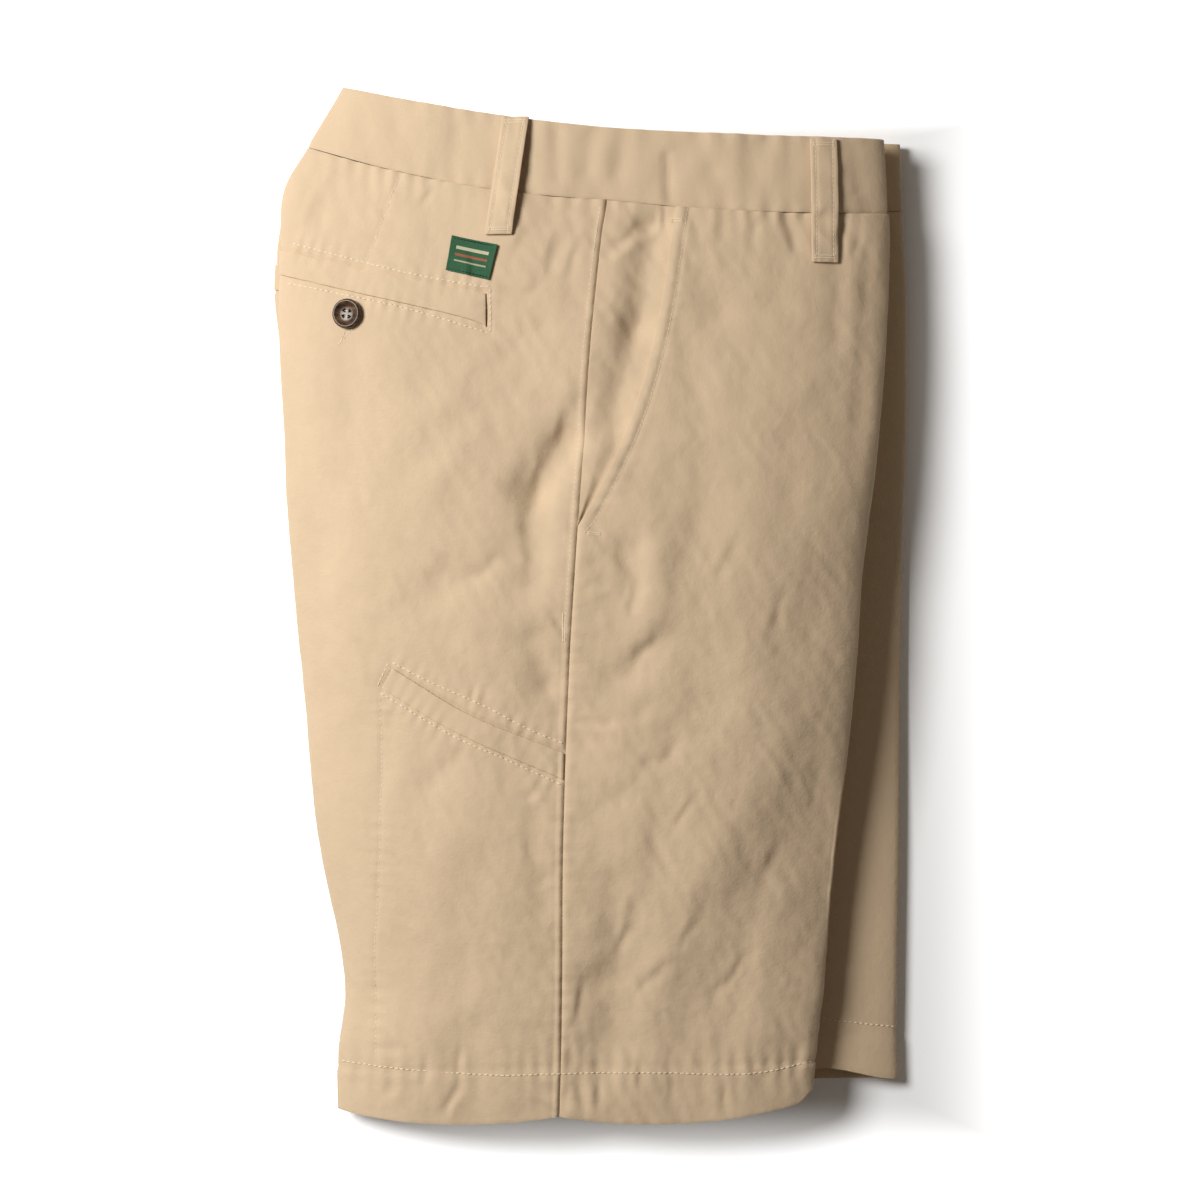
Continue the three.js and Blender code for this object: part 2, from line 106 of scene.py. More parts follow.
# Shallower folds that only the visible cloth has, in the same columns.
SOFT_FOLDS = (
    (30, 186, 22, 136, 9, 3.2), (22, 136, 8, 88, 8, 2.8), (-6, 98, -10, 78, 6, 1.8),
    (-10, 78, -25, 54, 6, 1.8), (-25, 54, -25, 14, 6, 1.4), (22, -170, 24, -215, 14, 2.4),
    (-37, 149, -79, 110, 11, 1.0), (-28, 135, -59, 109, 7, 0.8), (-29, -19, -21, -41, 6, 1.4),
    (-21, -41, -15, -53, 5, 1.1), (50, 170, 63, 144, 7, 0.9), (46, 134, 55, 91, 8, 0.9),
    (78, 113, 70, 78, 9, 0.8),
    (98, 190, 92, 150, 8, 0.8), (126, 186, 122, 130, 6, 0.8), (138, 176, 134, 90, 5, 0.7),
    (100, -60, 64, -130, 12, -1.2), (112, -90, 66, -190, 14, 1.4), (58, -120, 30, -200, 11, -1.2),
    (36, -110, 24, -150, 9, 1.0), (10, -140, 13, -215, 9, 1.8), (92, -150, 84, -214, 10, -0.9),
    (-66, -76, -82, -91, 6, 0.9), (-100, -58, -108, -112, 5, 0.6), (-30, -100, -24, -150, 6, 0.9),
    (-118, 120, -128, 40, 9, 0.7), (-140, 60, -132, -20, 8, 0.8), (-60, -130, -66, -190, 10, 0.8),
    (-110, -196, -116, -240, 7, 0.9), (8, 60, 30, 44, 8, -1.0), (60, 60, 48, 20, 8, 0.7),
    (104, 90, 98, 40, 9, 0.7), (-70, 16, -32, 4, 7, 1.1), (-56, 86, -80, 58, 8, -0.8),
    (-4, -110, 12, -96, 7, 0.8), (40, -66, 60, -50, 8, 0.8), (-92, -2, -70, -16, 7, 0.7),
)
# Rolled creases, crisp on one side: from x, y to x, y, reach, depth.
CREASES = (
    (8, 172, 19, 182, 2.6, 1.1), (19, 182, 31, 190, 2.4, 1.3), (-12, 91, -23, 68, 3.0, 1.2),
    (-23, 68, -32, 44, 2.8, 1.3), (-32, 44, -30, 14, 3.0, 1.0), (-44, 22, -64, 11, 2.6, 0.9),
    (-20, -3, -10, -19, 1.9, 0.9), (-3, 6, 8, 10, 2.2, 0.6), (-11, -60, 9, -59, 1.7, 0.9),
    (9, -59, 36, -51, 3.2, 0.5), (12, 27, 24, 11, 2.8, 0.9), (22, 11, 21, -8, 2.6, 0.8),
    (34, -15, 20, -30, 2.8, 1.0), (44, -70, 24, -84, 3.2, 0.7), (-57, -42, -60, -50, 1.9, 0.6),
    (-50, -43, -52, -53, 1.9, 0.6), (-42, -50, -38, -58, 2.0, 0.5), (-33, -97, -27, -91, 2.0, 0.8),
    (-32, -121, -27, -127, 2.0, 0.6), (-26, -140, -18, -133, 2.2, 0.5), (-15, 181, -21, 164, 2.4, 0.8),
    (-5, 176, -12, 160, 2.2, 0.7), (-30, 186, -38, 172, 2.4, 0.6), (-26, 160, -34, 150, 2.6, 0.6),
    (-60, 172, -56, 160, 2.2, 0.6), (-75, 206, -86, 196, 2.4, 0.5), (-130, 210, -139, 188, 3.0, 0.6),
    (37, 196, 38, 184, 1.9, 0.8), (50, 194, 54, 180, 2.4, 0.6), (66, 195, 64, 178, 2.4, 0.6),
    (82, 194, 80, 176, 2.4, 0.5), (98, 190, 104, 172, 2.4, 0.7), (126, 191, 124, 178, 2.2, 0.7),
    (134, 188, 131, 172, 2.2, 0.6), (52, 168, 62, 160, 2.4, 0.6), (-73, -256, -66, -236, 2.6, 1.1),
    (-66, -236, -64, -223, 2.2, 0.9), (-103, -248, -97, -241, 2.2, 0.7), (-82, -243, -83, -227, 2.2, 0.7),
    (-15, -256, -27, -249, 2.0, 0.9), (-14, -255, -11, -242, 2.0, 0.8), (-3, -252, -7, -235, 2.4, 1.1),
    (-7, -235, -11, -218, 2.4, 0.9), (7, -238, 4, -250, 2.2, 0.7), (-106, -223, -94, -222, 2.0, 0.7),
    (-96, -211, -91, -221, 2.0, 0.5), (25, -228, 24, -242, 2.2, 0.6), (40, -230, 41, -246, 2.2, 0.6),
    (64, -232, 66, -254, 2.4, 0.8), (84, -230, 87, -246, 2.2, 0.6), (100, -226, 103, -240, 2.2, 0.5),
    (24, -148, 14, -176, 2.6, 0.9), (40, -178, 22, -192, 2.4, 0.7), (56, -150, 44, -170, 2.6, 0.6),
    (78, -176, 62, -196, 2.8, 0.6), (96, -118, 84, -140, 2.8, 0.5), (52, -96, 40, -112, 2.4, 0.6),
    (30, -118, 40, -132, 2.2, 0.5), (-5, -188, -6, -212, 2.2, 0.9), (5, -200, 14, -208, 2.0, 0.7),
    (-120, 60, -112, 48, 2.8, 0.5), (-96, 32, -84, 22, 2.8, 0.5), (-118, -20, -106, -30, 2.6, 0.5),
    (-88, -110, -78, -124, 2.8, 0.5), (70, 30, 64, 12, 2.8, 0.6), (94, 6, 90, -16, 2.8, 0.6),
)
# Dents in the waistband, in the same columns as the soft folds.
BAND_DENTS = (
    (-17, 233, -16, 212, 4, 1.0), (1, 233, -2, 214, 4.5, 0.8), (17, 234, 13, 213, 4.5, 0.9),
    (38, 222, 39, 200, 2.4, 1.0), (54, 231, 60, 216, 6, 0.7), (84, 228, 80, 206, 6, 0.6),
    (-96, 240, -90, 224, 6, 0.6), (-66, 234, -70, 214, 5, 0.6), (132, 226, 134, 206, 4, 0.6),
)
# Lines that are sewn through the cloth, in plan.
SEWN = {
    "back pocket mouth": ((-49.5, 157), (-53, 156.6), (-87, 163), (-114, 170), (-150, 180.5)),
    "back pocket end": ((-49.6, 156), (-49.6, 134)),
    "back pocket foot": ((-50, 133.6), (-92, 146.4), (-126, 154.4), (-152, 160.6)),
    "dart": ((-95.5, 212), (-104, 190), (-112, 170)),
    "thigh pocket mouth": ((-99, -29.5), (-79, -39.5), (-51.4, -51.5), (-31.7, -62), (-13.5, -69.5)),
    "thigh pocket end": ((-100.8, -30), (-106.2, -41.5)),
    "thigh pocket foot": ((-105, -44.6), (-68.6, -65.6), (-41, -77.8), (-14.6, -89.8)),
    "pocket bag": ((-105, -47), (-104.3, -86), (-106.4, -150), (-108, -172), (-107.6, -226)),
}


class Half:
    """One leg with its side of the hip, given by its stations."""

    def __init__(self, rows, top):
        table = np.array(rows, dtype=float)
        self.column = {key: table[:, i] for i, key in enumerate(STATION)}
        self.top = top

    def at(self, column, height):
        return curve(self.column["height"], self.column[column], height)

    def plan(self, side, height):
        part = np.abs(side)
        back = side < 0
        end_x, end_y, dip = (np.where(back, self.at("back" + key, height), self.at("front" + key, height))
                             for key in ("X", "Y", "Dip"))
        sag = 4 * part * (1 - part) * dip
        return mix(self.at("seamX", height), end_x, part), mix(height, end_y, part) - sag

    def side_of(self, x, height):
        seam = self.at("seamX", height)
        return np.where(x < seam, (x - seam) / (seam - self.at("backX", height)),
                        (x - seam) / (self.at("frontX", height) - seam))

    def locate(self, x, y):
        x, y = np.asarray(x, float), np.asarray(y, float)
        height = y.copy()
        for _ in range(14):
            side = self.side_of(x, height)
            height = height + y - self.plan(side, height)[1]
        return self.side_of(x, height), height

    def width(self, front, height):
        seam = self.at("seamX", height)
        return self.at("frontX", height) - seam if front else seam - self.at("backX", height)


def mix(a, b, t):
    return a + (b - a) * t


def smooth_step(low, high, value):
    t = np.clip((value - low) / (high - low), 0, 1)
    return t * t * (3 - 2 * t)


def curve(knots, values, at):
    """A smooth curve through the values at the knots."""
    at = np.clip(np.asarray(at, float), knots[0], knots[-1])
    i = np.clip(np.searchsorted(knots, at, side="right") - 1, 0, len(knots) - 2)
    slopes = np.empty(len(values))
    slopes[1:-1] = (values[2:] - values[:-2]) / (knots[2:] - knots[:-2])
    slopes[0] = (values[1] - values[0]) / (knots[1] - knots[0])
    slopes[-1] = (values[-1] - values[-2]) / (knots[-1] - knots[-2])
    span = knots[i + 1] - knots[i]
    t = (at - knots[i]) / span
    t2, t3 = t * t, t * t * t
    return ((2 * t3 - 3 * t2 + 1) * values[i] + (t3 - 2 * t2 + t) * span * slopes[i]
            + (3 * t2 - 2 * t3) * values[i + 1] + (t3 - t2) * span * slopes[i + 1])


RIGHT = Half(RIGHT_ROWS, top=True)
LEFT = Half(LEFT_ROWS, top=False)
RISE = np.array(RISE_ROWS, dtype=float)
FORK_HEIGHT = RISE[0, 0]
WAIST_SEAM = 200.0
HEM_DEPTH = 25.0
HEM_ROUND = 6.0  # how far the right hem's front corner is rounded off
HEM_SLACK = 7.5  # how far the left leg's upper layer is drawn up at the hem
SEAM_GAP = 0.12  # from the waist seam to the cloth on each side of it
MOUTH = {"width": 34.0, "top": 176.0, "bottom": 38.0, "bend": 2.2}  # the slanted front pocket
MOUTH_STITCH = 6.5  # from the mouth's edge to its row of stitches
MOUTH_FADE = (MOUTH["bottom"] - 4, MOUTH["bottom"] + 8)
WELT_FRONT = -52.0
WELT_EDGES = ((136.8, 15.2, 0.6), (153.3, 9.0, 1.0))  # low and high: height in front, rise, bend
WELT_END = {"right": -1.043, "left": -1.03}
THIGH_LOW = ((-104.4, -42.5), (-68, -63.5), (-13.2, -87.6))
THIGH_HIGH = ((-98.5, -32.5), (-60.6, -55), (-12.7, -74.4))
BED = 1.35  # how far the cloth lies back under a welt
FLUSH = 0.3  # how far a welt stands above the cloth round it
EDGE_ROUND = 0.3  # of a wall's thickness
OUTER_SHARE = 0.82  # of a panel's columns, on the layer that shows
SHOWN = (1.04, 0.95)  # round the half, where folds fade out towards the inner layer
# Puckers along seams: pitch, fade and seed.
HEM_PUCKERS = (8.0, 8.0, 1.0)
WAIST_PUCKERS = (8.5, 7.0, 4.0)
SEAM_PUCKERS = (7.0, 5.0, 2.0)
MOUTH_PUCKERS = (7.0, 4.0, 5.0)
BAND_PUCKERS = (11.0, 6.0, 2.0)
SEWN_PUCKERS = (6.5, 4.5)
# Grooves and ridges along a seam: where, reach, and height above the cloth.
HEM_RIDGES = ((0.0, 1.3, -0.45),)
SIDE_RIDGES = ((0.0, 1.1, -0.8), (-1.8, 1.3, 0.55), (-3.2, 0.9, -0.25))
MOUTH_RIDGES = ((3.2, 2.4, 0.4), (MOUTH_STITCH, 1.1, -0.3))
# Clouds of soft relief: scale, seed and height.
SWELLS = ((60.0, 3.0, 2.6), (26.0, 7.0, 0.9))
FINE = ((9.0, 11.0, 0.42), (4.5, 17.0, 0.2))
BAND_SWELLS = ((30.0, 5.0, 1.1), (12.0, 9.0, 0.6))
CRINKLES = {"scale": 11.0, "seed": 21.0, "squeeze": 0.45, "height": 1.4, "level": 0.15, "softness": 0.003}
CREASE_WANDER = {"scale": 12.0, "seed": 31.0, "reach": 3.0}


def fold_back(around):
    """The inner layer's places, folded back over the outer layer's."""
    return np.where(np.abs(around) > 1, np.sign(around) * (2 - np.abs(around)), around)


def bell(value):
    return np.exp(-value ** 2)


def troughs(rows, x, y):
    relief = np.zeros_like(x)
    for x0, y0, x1, y1, reach, depth in rows:
        away = from_line(x, y, (x0, y0), (x1, y1))[0]
        relief -= depth * bell(away / reach)
    return relief


def rolled(rows, x, y):
    """Creases that drop on one side of their line and roll up on the other."""
    relief = np.zeros_like(x)
    bend = CREASE_WANDER["reach"] * cloud(x, y, CREASE_WANDER["scale"], CREASE_WANDER["seed"])
    for x0, y0, x1, y1, reach, depth in rows:
        away, run, side = from_line(x + bend, y - bend, (x0, y0), (x1, y1))
        length = math.hypot(x1 - x0, y1 - y0)
        taper = np.sin(math.pi * np.clip((run / length) * 0.9 + 0.05, 0, 1)) ** 0.6
        across = np.sign(side) * away / (1.3 * reach)
        relief += 1.05 * depth * taper * (0.5 * bell(across + 1.1) - bell(across))
    return relief


def from_line(x, y, start, end):
    """Distance from a stretch of line, the way along it, and the distance to its left."""
    dx, dy = end[0] - start[0], end[1] - start[1]
    length = math.hypot(dx, dy)
    t = np.clip(((x - start[0]) * dx + (y - start[1]) * dy) / length ** 2, 0, 1)
    away = np.hypot(x - start[0] - t * dx, y - start[1] - t * dy)
    return away, t * length, (dx * (y - start[1]) - dy * (x - start[0])) / length


def gathers(lines, x, y):
    """The groove that a sewn line pulls into the cloth, with small puckers square to it."""
    relief = np.zeros_like(x)
    for seed, points in enumerate(lines):
        nearest = np.full(x.shape, 1e3)
        along = np.zeros_like(x)
        before = 0.0
        for start, end in zip(points, points[1:]):
            away, run, _ = from_line(x, y, start, end)
            closer = away < nearest
            nearest = np.where(closer, away, nearest)
            along = np.where(closer, before + run, along)
            before += math.dist(start, end)
        relief += 0.3 * puckers(nearest, along, *SEWN_PUCKERS, seed) - 0.3 * bell(nearest / 1.2)
    return relief


def rest_height(x, y):
    """The surface on which the right half rests on the left half."""
    away = np.abs(LEFT.locate(x, y)[0])
    arch = EDGE_LIFT + (MIDDLE_LIFT - EDGE_LIFT) * np.maximum(0, 1 - away * away)
    return arch - (EDGE_LIFT - 2) * smooth_step(1, 1.3, away)


def face(half, around, height):
    """Points on the garment's outer face. Beyond 1 and -1 they are on the hidden inner layer."""
    around, height = np.atleast_1d(np.asarray(around, float)), np.atleast_1d(np.asarray(height, float))
    around, height = np.broadcast_arrays(around, height)
    inner = np.abs(around) > 1
    side = fold_back(around)
    part = np.minimum(np.abs(side), 1)
    x, y = half.plan(side, height)
    crease = mix(half.at("backZ", height), half.at("frontZ", height), (side + 1) / 2)
    if half.top:
        dome = np.maximum(0, 1 - part ** np.where(side < 0, 2.3, 3.8)) ** 0.75
        z = mix(crease, half.at("topZ", height), dome) + troughs(FOLDS, x, y) * dome
        fullness, gap = np.sqrt(np.maximum(0, 1 - part ** 3.2)), HALVES_GAP / 2
    else:
        away = np.hypot(x - LEFT_BUTTON["x"], y - LEFT_BUTTON["y"])
        give = LEFT_BUTTON["height"] * (1 - smooth_step(0, LEFT_BUTTON["reach"], away))
        give = give + LEFT_TRIM["height"] * smooth_step(LEFT_TRIM["start"], LEFT_TRIM["full"], y)
        roll = np.clip((part - 1 + LEFT_ROLL) / LEFT_ROLL, 0, 1)
        z = mix(crease, np.minimum(give, crease), np.sqrt(1 - roll * roll))
        fullness, gap = np.sqrt(np.maximum(0, 1 - part ** 6)), -HALVES_GAP / 2
    if inner.any():
        z[inner] = mix(crease[inner], rest_height(x[inner], y[inner]) + gap, fullness[inner])
    return np.stack([x, y, z], axis=-1)


def normal(half, around, height):
    across = face(half, around + 0.012, height) - face(half, around - 0.012, height)
    along = face(half, around, height + 1.5) - face(half, around, height - 1.5)
    n = np.cross(across, along)
    n /= np.maximum(np.linalg.norm(n, axis=-1, keepdims=True), 1e-9)
    return n if half.top else -n


def ridges(rows, away):
    """Grooves and ridges along a seam, at a distance from it."""
    return sum(height * bell((away - where) / reach) for where, reach, height in rows)


def clouds(rows, x, y):
    return sum(height * cloud(x, y, scale, seed) for scale, seed, height in rows)


def cloud(x, y, scale, seed):
    """Uneven soft relief, from -1 to 1."""
    points = np.stack([x / scale, y / (1.4 * scale), np.full_like(x, seed)], axis=-1).reshape(-1, 3)
    values = [noise.noise(Vector(p)) for p in points]
    return np.array(values).reshape(x.shape)


def puckers(away, run, pitch, fade, seed):
    """Small gathers that stand square to a seam and fade away from it."""
    phase = run / pitch * 2 * math.pi + 2.2 * np.sin(run / (2.7 * pitch) + seed)
    strength = 0.7 + 0.5 * np.sin(run / (1.9 * pitch) + 2 * seed)
    return np.exp(-np.maximum(away, 0) / fade) * np.sin(phase) * strength


def crumples(seam, x, y):
    """Broad swells, crisp crinkles and a fine unevenness, strongest beside the side seam."""
    rough = 0.5 + 0.35 * bell(seam / 45) + 0.25 * smooth_step(0, 60, x) * smooth_step(10, -70, y)
    bias = cloud(x + y, CRINKLES["squeeze"] * (y - x), CRINKLES["scale"], CRINKLES["seed"])
    crinkles = CRINKLES["height"] * (CRINKLES["level"] - np.sqrt(bias * bias + CRINKLES["softness"]))
    return clouds(SWELLS, x, y) + rough * (crinkles + clouds(FINE, x, y))


def back_welt_edges(half, around):
    """Heights of the back welt's low and high edges, at a place round the half."""
    heights = []
    for y, rise, bend in WELT_EDGES:
        start, height = half.locate(WELT_FRONT, y)
        way = np.clip((around - start) / (-1 - start), 0, 1)
        heights.append(height + rise * way ** bend)
    return heights


def beds(half, around, height, x, y, seam):
    """How far the cloth lies back under the welts, so that they lie flush."""
    low, high = back_welt_edges(half, around)
    bed = over_edge(height - low) * over_edge(high - height) * over_edge(WELT_FRONT - x)
    bed = bed * smooth_step(-1.09, -1.06, around)
    if half.top:
        low, high = (curve(*np.array(line).T, x) for line in (THIGH_LOW, THIGH_HIGH))
        start = from_line(x, y, THIGH_HIGH[0], THIGH_LOW[0])[2]
        inside = over_edge(y - low) * over_edge(high - y) * over_edge(start)
        bed = bed + inside * smooth_step(-0.1, -0.5, seam)
    return BED * bed


def over_edge(value):
    """Rises from 0 to 1 just outside an edge."""
    return smooth_step(-1.3, -0.1, value)


def panel_relief(half, around, height, x, y, bedded=True):
    """How far a panel's cloth stands off the plain form, in millimetres along its normal."""
    hem_line = half.column["height"][0] + HEM_DEPTH
    lift = 0.35 * (1 - smooth_step(hem_line - 0.8, hem_line + 0.4, height))
    lift = lift + ridges(HEM_RIDGES, height - hem_line)
    lift = lift + 0.34 * puckers(np.abs(height - hem_line), x, *HEM_PUCKERS)
    lift = lift + 0.38 * puckers(WAIST_SEAM - height, x, *WAIST_PUCKERS)
    seam = around * np.where(around < 0, half.width(False, height), half.width(True, height))
    bed = beds(half, around, height, x, y, seam) if bedded else 0
    if not half.top:
        return np.where(np.abs(around) < 1, np.minimum(lift, 0), lift) - bed
    lift = lift + 0.28 * puckers(np.abs(seam), height, *SEAM_PUCKERS) + ridges(SIDE_RIDGES, seam)
    edge = seam - mouth_width(height)
    stitched = ridges(MOUTH_RIDGES, edge) + 0.3 * puckers(np.abs(edge - MOUTH_STITCH), height, *MOUTH_PUCKERS)
    lift = lift + smooth_step(*MOUTH_FADE, height) * (seam > 0) * stitched
    shown = smooth_step(*SHOWN, np.abs(around))
    folds = troughs(SOFT_FOLDS, x, y) + rolled(CREASES, x, y) + gathers(SEWN.values(), x, y)
    return lift + shown * folds + mix(0.1, 1, shown) * crumples(seam, x, y) - bed


def band_relief(half, around, height, x, y, groove=True):
    """How far the waistband's cloth stands off the plain form."""
    rise = height - WAIST_SEAM
    lift = 0.34 * puckers(np.minimum(rise, half.column["height"][-1] - height), x, *BAND_PUCKERS)
    if groove:
        lift = lift - 0.6 * np.exp(-np.maximum(rise, 0) / 1.1)
    if half.top:
        folds = troughs(BAND_DENTS, x, y) + clouds(BAND_SWELLS, x, y)
        return lift + smooth_step(*SHOWN, np.abs(around)) * folds
    return np.where(np.abs(around) < 1, np.minimum(lift, 0), lift)


def facing_relief(half, around, height, x, y):
    """The pocket facing's own folds: the panel's, without its seams."""
    if not half.top:
        return panel_relief(half, around, height, x, y, bedded=False)
    seam = around * half.width(True, height)
    lift = 0.38 * puckers(WAIST_SEAM - height, x, *WAIST_PUCKERS)
    return lift + troughs(SOFT_FOLDS, x, y) + rolled(CREASES, x, y) + crumples(seam, x, y)


def cloth_relief(half, around, height, x, y):
    """The stand of whatever cloth a trim is sewn to, without the grooves and beds under it."""
    panel = panel_relief(half, around, height, x, y, bedded=False)
    band = band_relief(half, around, height, x, y, groove=False)
    return mix(panel, band, smooth_step(WAIST_SEAM - 4, WAIST_SEAM + 4, height))


# ---------- making the cloth ----------


def inner_edge(half, front, height):
    t = np.clip((height - half.column["height"][0]) / (FORK_HEIGHT - half.column["height"][0]), 0, 1)
    inseam = mix(half.column["seamX"][0] + 4, RISE[0, 1], t)
    rise = curve(RISE[:, 0], RISE[:, 1 if front else 2], height)
    return np.where(height <= FORK_HEIGHT, inseam, rise)


def mouth_width(height):
    down = np.clip((MOUTH["top"] - height) / (MOUTH["top"] - MOUTH["bottom"]), 0, 1)
    return MOUTH["width"] * (1 - down ** MOUTH["bend"])


def panel_around(half, front, height, way):
    """From the side seam, over the crease, to the panel's inner edge."""
    sign = 1 if front else -1
    gap = 0.02 / half.width(front, height)
    start = gap + (mouth_width(height) / half.width(front, height) if front else 0)
    end = sign * half.side_of(inner_edge(half, front, height), height) + gap
    round_out = np.sin(math.pi / 2 * np.minimum(2 * way, 2 - 2 * way))
    evened = mix(2 * way, round_out, 0.45)
    return sign * np.where(way <= 0.5, mix(start, 1, evened), 2 - mix(end, 1, round_out))


def hem_rise(half, around):
    """How far the hem's edge rises: a rounded front corner, and the left leg's slack upper layer."""
    if half.top:
        near_crease = 1 - np.abs(1 - around)
        return HEM_ROUND * smooth_step(0.92, 1.0, near_crease) ** 2
    return HEM_SLACK * smooth_step(1.0, 1.32, around)


def grid_piece(name, half, across, along, place, wall, material, flip=False):
    """A cloth wall whose outer face follows place(a, b) -> around, height, lift."""
    bm = bmesh.new()
    uv = bm.loops.layers.uv.new("cloth")
    bmesh.ops.create_grid(bm, x_segments=across, y_segments=along, size=0.5)
    bm.verts.ensure_lookup_table()
    flat = np.array([v.co[:2] for v in bm.verts]) + 0.5
    around, height, lift = place(flat[:, 0], flat[:, 1])
    points = face(half, around, height)
    points = points + normal(half, around, height) * lift[:, None]
    points[:, :2] += ORIGIN
    for vertex, point in zip(bm.verts, points * MM):
        vertex.co = point
    for f in bm.faces:
        for loop in f.loops:
            loop[uv].uv = flat[loop.vert.index]
    if flip:
        bmesh.ops.reverse_faces(bm, faces=bm.faces)
    solid = finish_mesh(bm, name, material)
    thickness = solid.modifiers.new("Wall", "SOLIDIFY")
    thickness.thickness = wall * MM
    thickness.offset = -1
    rounding = solid.modifiers.new("Edges", "BEVEL")
    rounding.width = EDGE_ROUND * wall * MM
    rounding.segments = 2
    rounding.limit_method = "ANGLE"
    rounding.angle_limit = math.radians(60)
    return solid


def finish_mesh(bm, name, material):
    for f in bm.faces:
        f.smooth = True
    mesh = bpy.data.meshes.new(name)
    bm.to_mesh(mesh)
    bm.free()
    piece = bpy.data.objects.new(name, mesh)
    bpy.context.scene.collection.objects.link(piece)
    mesh.materials.append(material)
    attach(piece, BODY)
    return piece


def on_plan(half, corners, lift):
    """A place function for a patch over four plan corners: low start and end, high start and end."""
    low_start, low_end, high_start, high_end = (np.array(c, float) for c in corners)

    def place(a, b):
        low = mix(low_start, low_end, a[:, None])
        high = mix(high_start, high_end, a[:, None])
        x, y = mix(low, high, b[:, None]).T
        around, height = half.locate(x, y)
        return around, height, lift(a, b) + cloth_relief(half, around, height, x, y)

    return place


# ---------- shaders ----------


class Sock:
    """A shader socket that Python's operators work on."""

    def __init__(self, shader, socket):
        self.shader, self.socket = shader, socket

    def _math(self, operation, a, b=None):
        values = {0: a} if b is None else {0: a, 1: b}
        return self.shader.node("ShaderNodeMath", {"operation": operation}, values)

    def __add__(self, other):
        return self._math("ADD", self, other)

    def __sub__(self, other):
        return self._math("SUBTRACT", self, other)

    def __rsub__(self, other):
        return self._math("SUBTRACT", other, self)

    def __mul__(self, other):
        return self._math("MULTIPLY", self, other)

    def __lt__(self, other):
        return self._math("LESS_THAN", self, other)

    def sin(self):
        return self._math("SINE", self)

    def abs(self):
        return self._math("ABSOLUTE", self)

    def above(self, other):
        """The larger of the two values."""
        return self._math("MAXIMUM", self, other)

    __radd__ = __add__
    __rmul__ = __mul__


class Shader:
    """A material built from one Principled shader."""

    def __init__(self, name, **constants):
        self.material = bpy.data.materials.new(name)
        self.material.use_nodes = True
        self.tree = self.material.node_tree
        self.surface = self.tree.nodes["Principled BSDF"]
        for key, value in constants.items():
            self.surface.inputs[key.replace("_", " ")].default_value = value

    def node(self, kind, settings=None, inputs=None, output=0):
        made = self.tree.nodes.new(kind)
        for key, value in (settings or {}).items():
            if key == "stops":
                self._stops(made.color_ramp, value)
            else:
                setattr(made, key, value)
        for key, value in (inputs or {}).items():
            if isinstance(value, Sock):
                self.tree.links.new(value.socket, made.inputs[key])
            else:
                made.inputs[key].default_value = value
        return Sock(self, made.outputs[output])

    @staticmethod
    def _stops(ramp, stops):
        while len(ramp.elements) < len(stops):
            ramp.elements.new(0.5)
        for element, (position, colour) in zip(ramp.elements, stops):
            element.position = position
            element.color = colour

    def coordinates(self, scale=(1, 1, 1), turn=(0, 0, 0), output="Object"):
        place = self.node("ShaderNodeTexCoord", output=output)
        return self.node("ShaderNodeMapping", {}, {"Vector": place, "Scale": scale, "Rotation": turn})

    def noise(self, place, scale, detail_level=3.0, roughness=0.55):
        values = {"Vector": place, "Scale": scale, "Detail": detail_level, "Roughness": roughness}
        return self.node("ShaderNodeTexNoise", {}, values)

    def bump(self, height, strength, distance, **more):
        values = {"Height": height, "Strength": strength, "Distance": distance, **more}
        return self.node("ShaderNodeBump", {}, values)

    def split(self, place):
        """The first two numbers of a vector."""
        return tuple(self.node("ShaderNodeSeparateXYZ", {}, {"Vector": place}, output=axis) for axis in "XY")

    def mix_colours(self, factor, a, b):
        return self.node("ShaderNodeMix", {"data_type": "RGBA"}, {0: factor, 6: a, 7: b}, output=2)

    def use(self, **links):
        for key, value in links.items():
            self.tree.links.new(value.socket, self.surface.inputs[key.replace("_", " ")])
        return self.material


def rgba(colour, factor=1.0):
    return (*(c * factor for c in colour), 1.0)


def twill_material(settings):
    """Washed cotton twill: fine diagonal ribs, slubs and soft uneven dyeing."""
    shader = Shader("Washed twill", Roughness=0.85, Sheen_Weight=0.12, Sheen_Roughness=0.5)
    place = shader.coordinates()
    dye = shader.noise(place, 14.0, 4.0)
    wash = shader.noise(place, 75.0, 5.0, 0.65)
    slub = shader.noise(shader.coordinates((1, 9, 1)), 210.0, 2.0)
    grain = shader.noise(place, 900.0, 2.0)
    rib = shader.node("ShaderNodeTexWave", {"bands_direction": "DIAGONAL"},
                      {"Vector": place, "Scale": 620.0, "Distortion": 1.2, "Detail": 1.0})
    tone = dye * 0.4 + wash * 0.4 + slub * 0.2
    cloth = tuple(settings.cloth)
    pale = rgba(cloth, 1.09)
    deep = rgba([cloth[0] * 0.86, cloth[1] * 0.85, cloth[2] * 0.82])
    colour = shader.mix_colours(tone, deep, pale)
    colour = shader.mix_colours(grain * 0.16, colour, rgba(cloth, 0.7))
    weave = rib * 0.35 + grain * 0.5 + slub * 0.4
    mottle = shader.noise(place, 260.0, 3.0, 0.6)
    soft = shader.bump(mottle, 0.5, 0.0005)
    return shader.use(Base_Color=colour, Normal=shader.bump(weave, 0.35, 0.0004, Normal=soft))


def thread_material(settings):
    """Matt cotton thread, a little paler than the cloth."""
    shader = Shader("Sewing thread", Roughness=0.7)
    grain = shader.noise(shader.coordinates(), 700.0)
    thread = tuple(settings.thread)
    colour = shader.mix_colours(grain, rgba(thread, 0.88), rgba(thread, 1.05))
    return shader.use(Base_Color=colour, Normal=shader.bump(grain, 0.4, 0.0002))


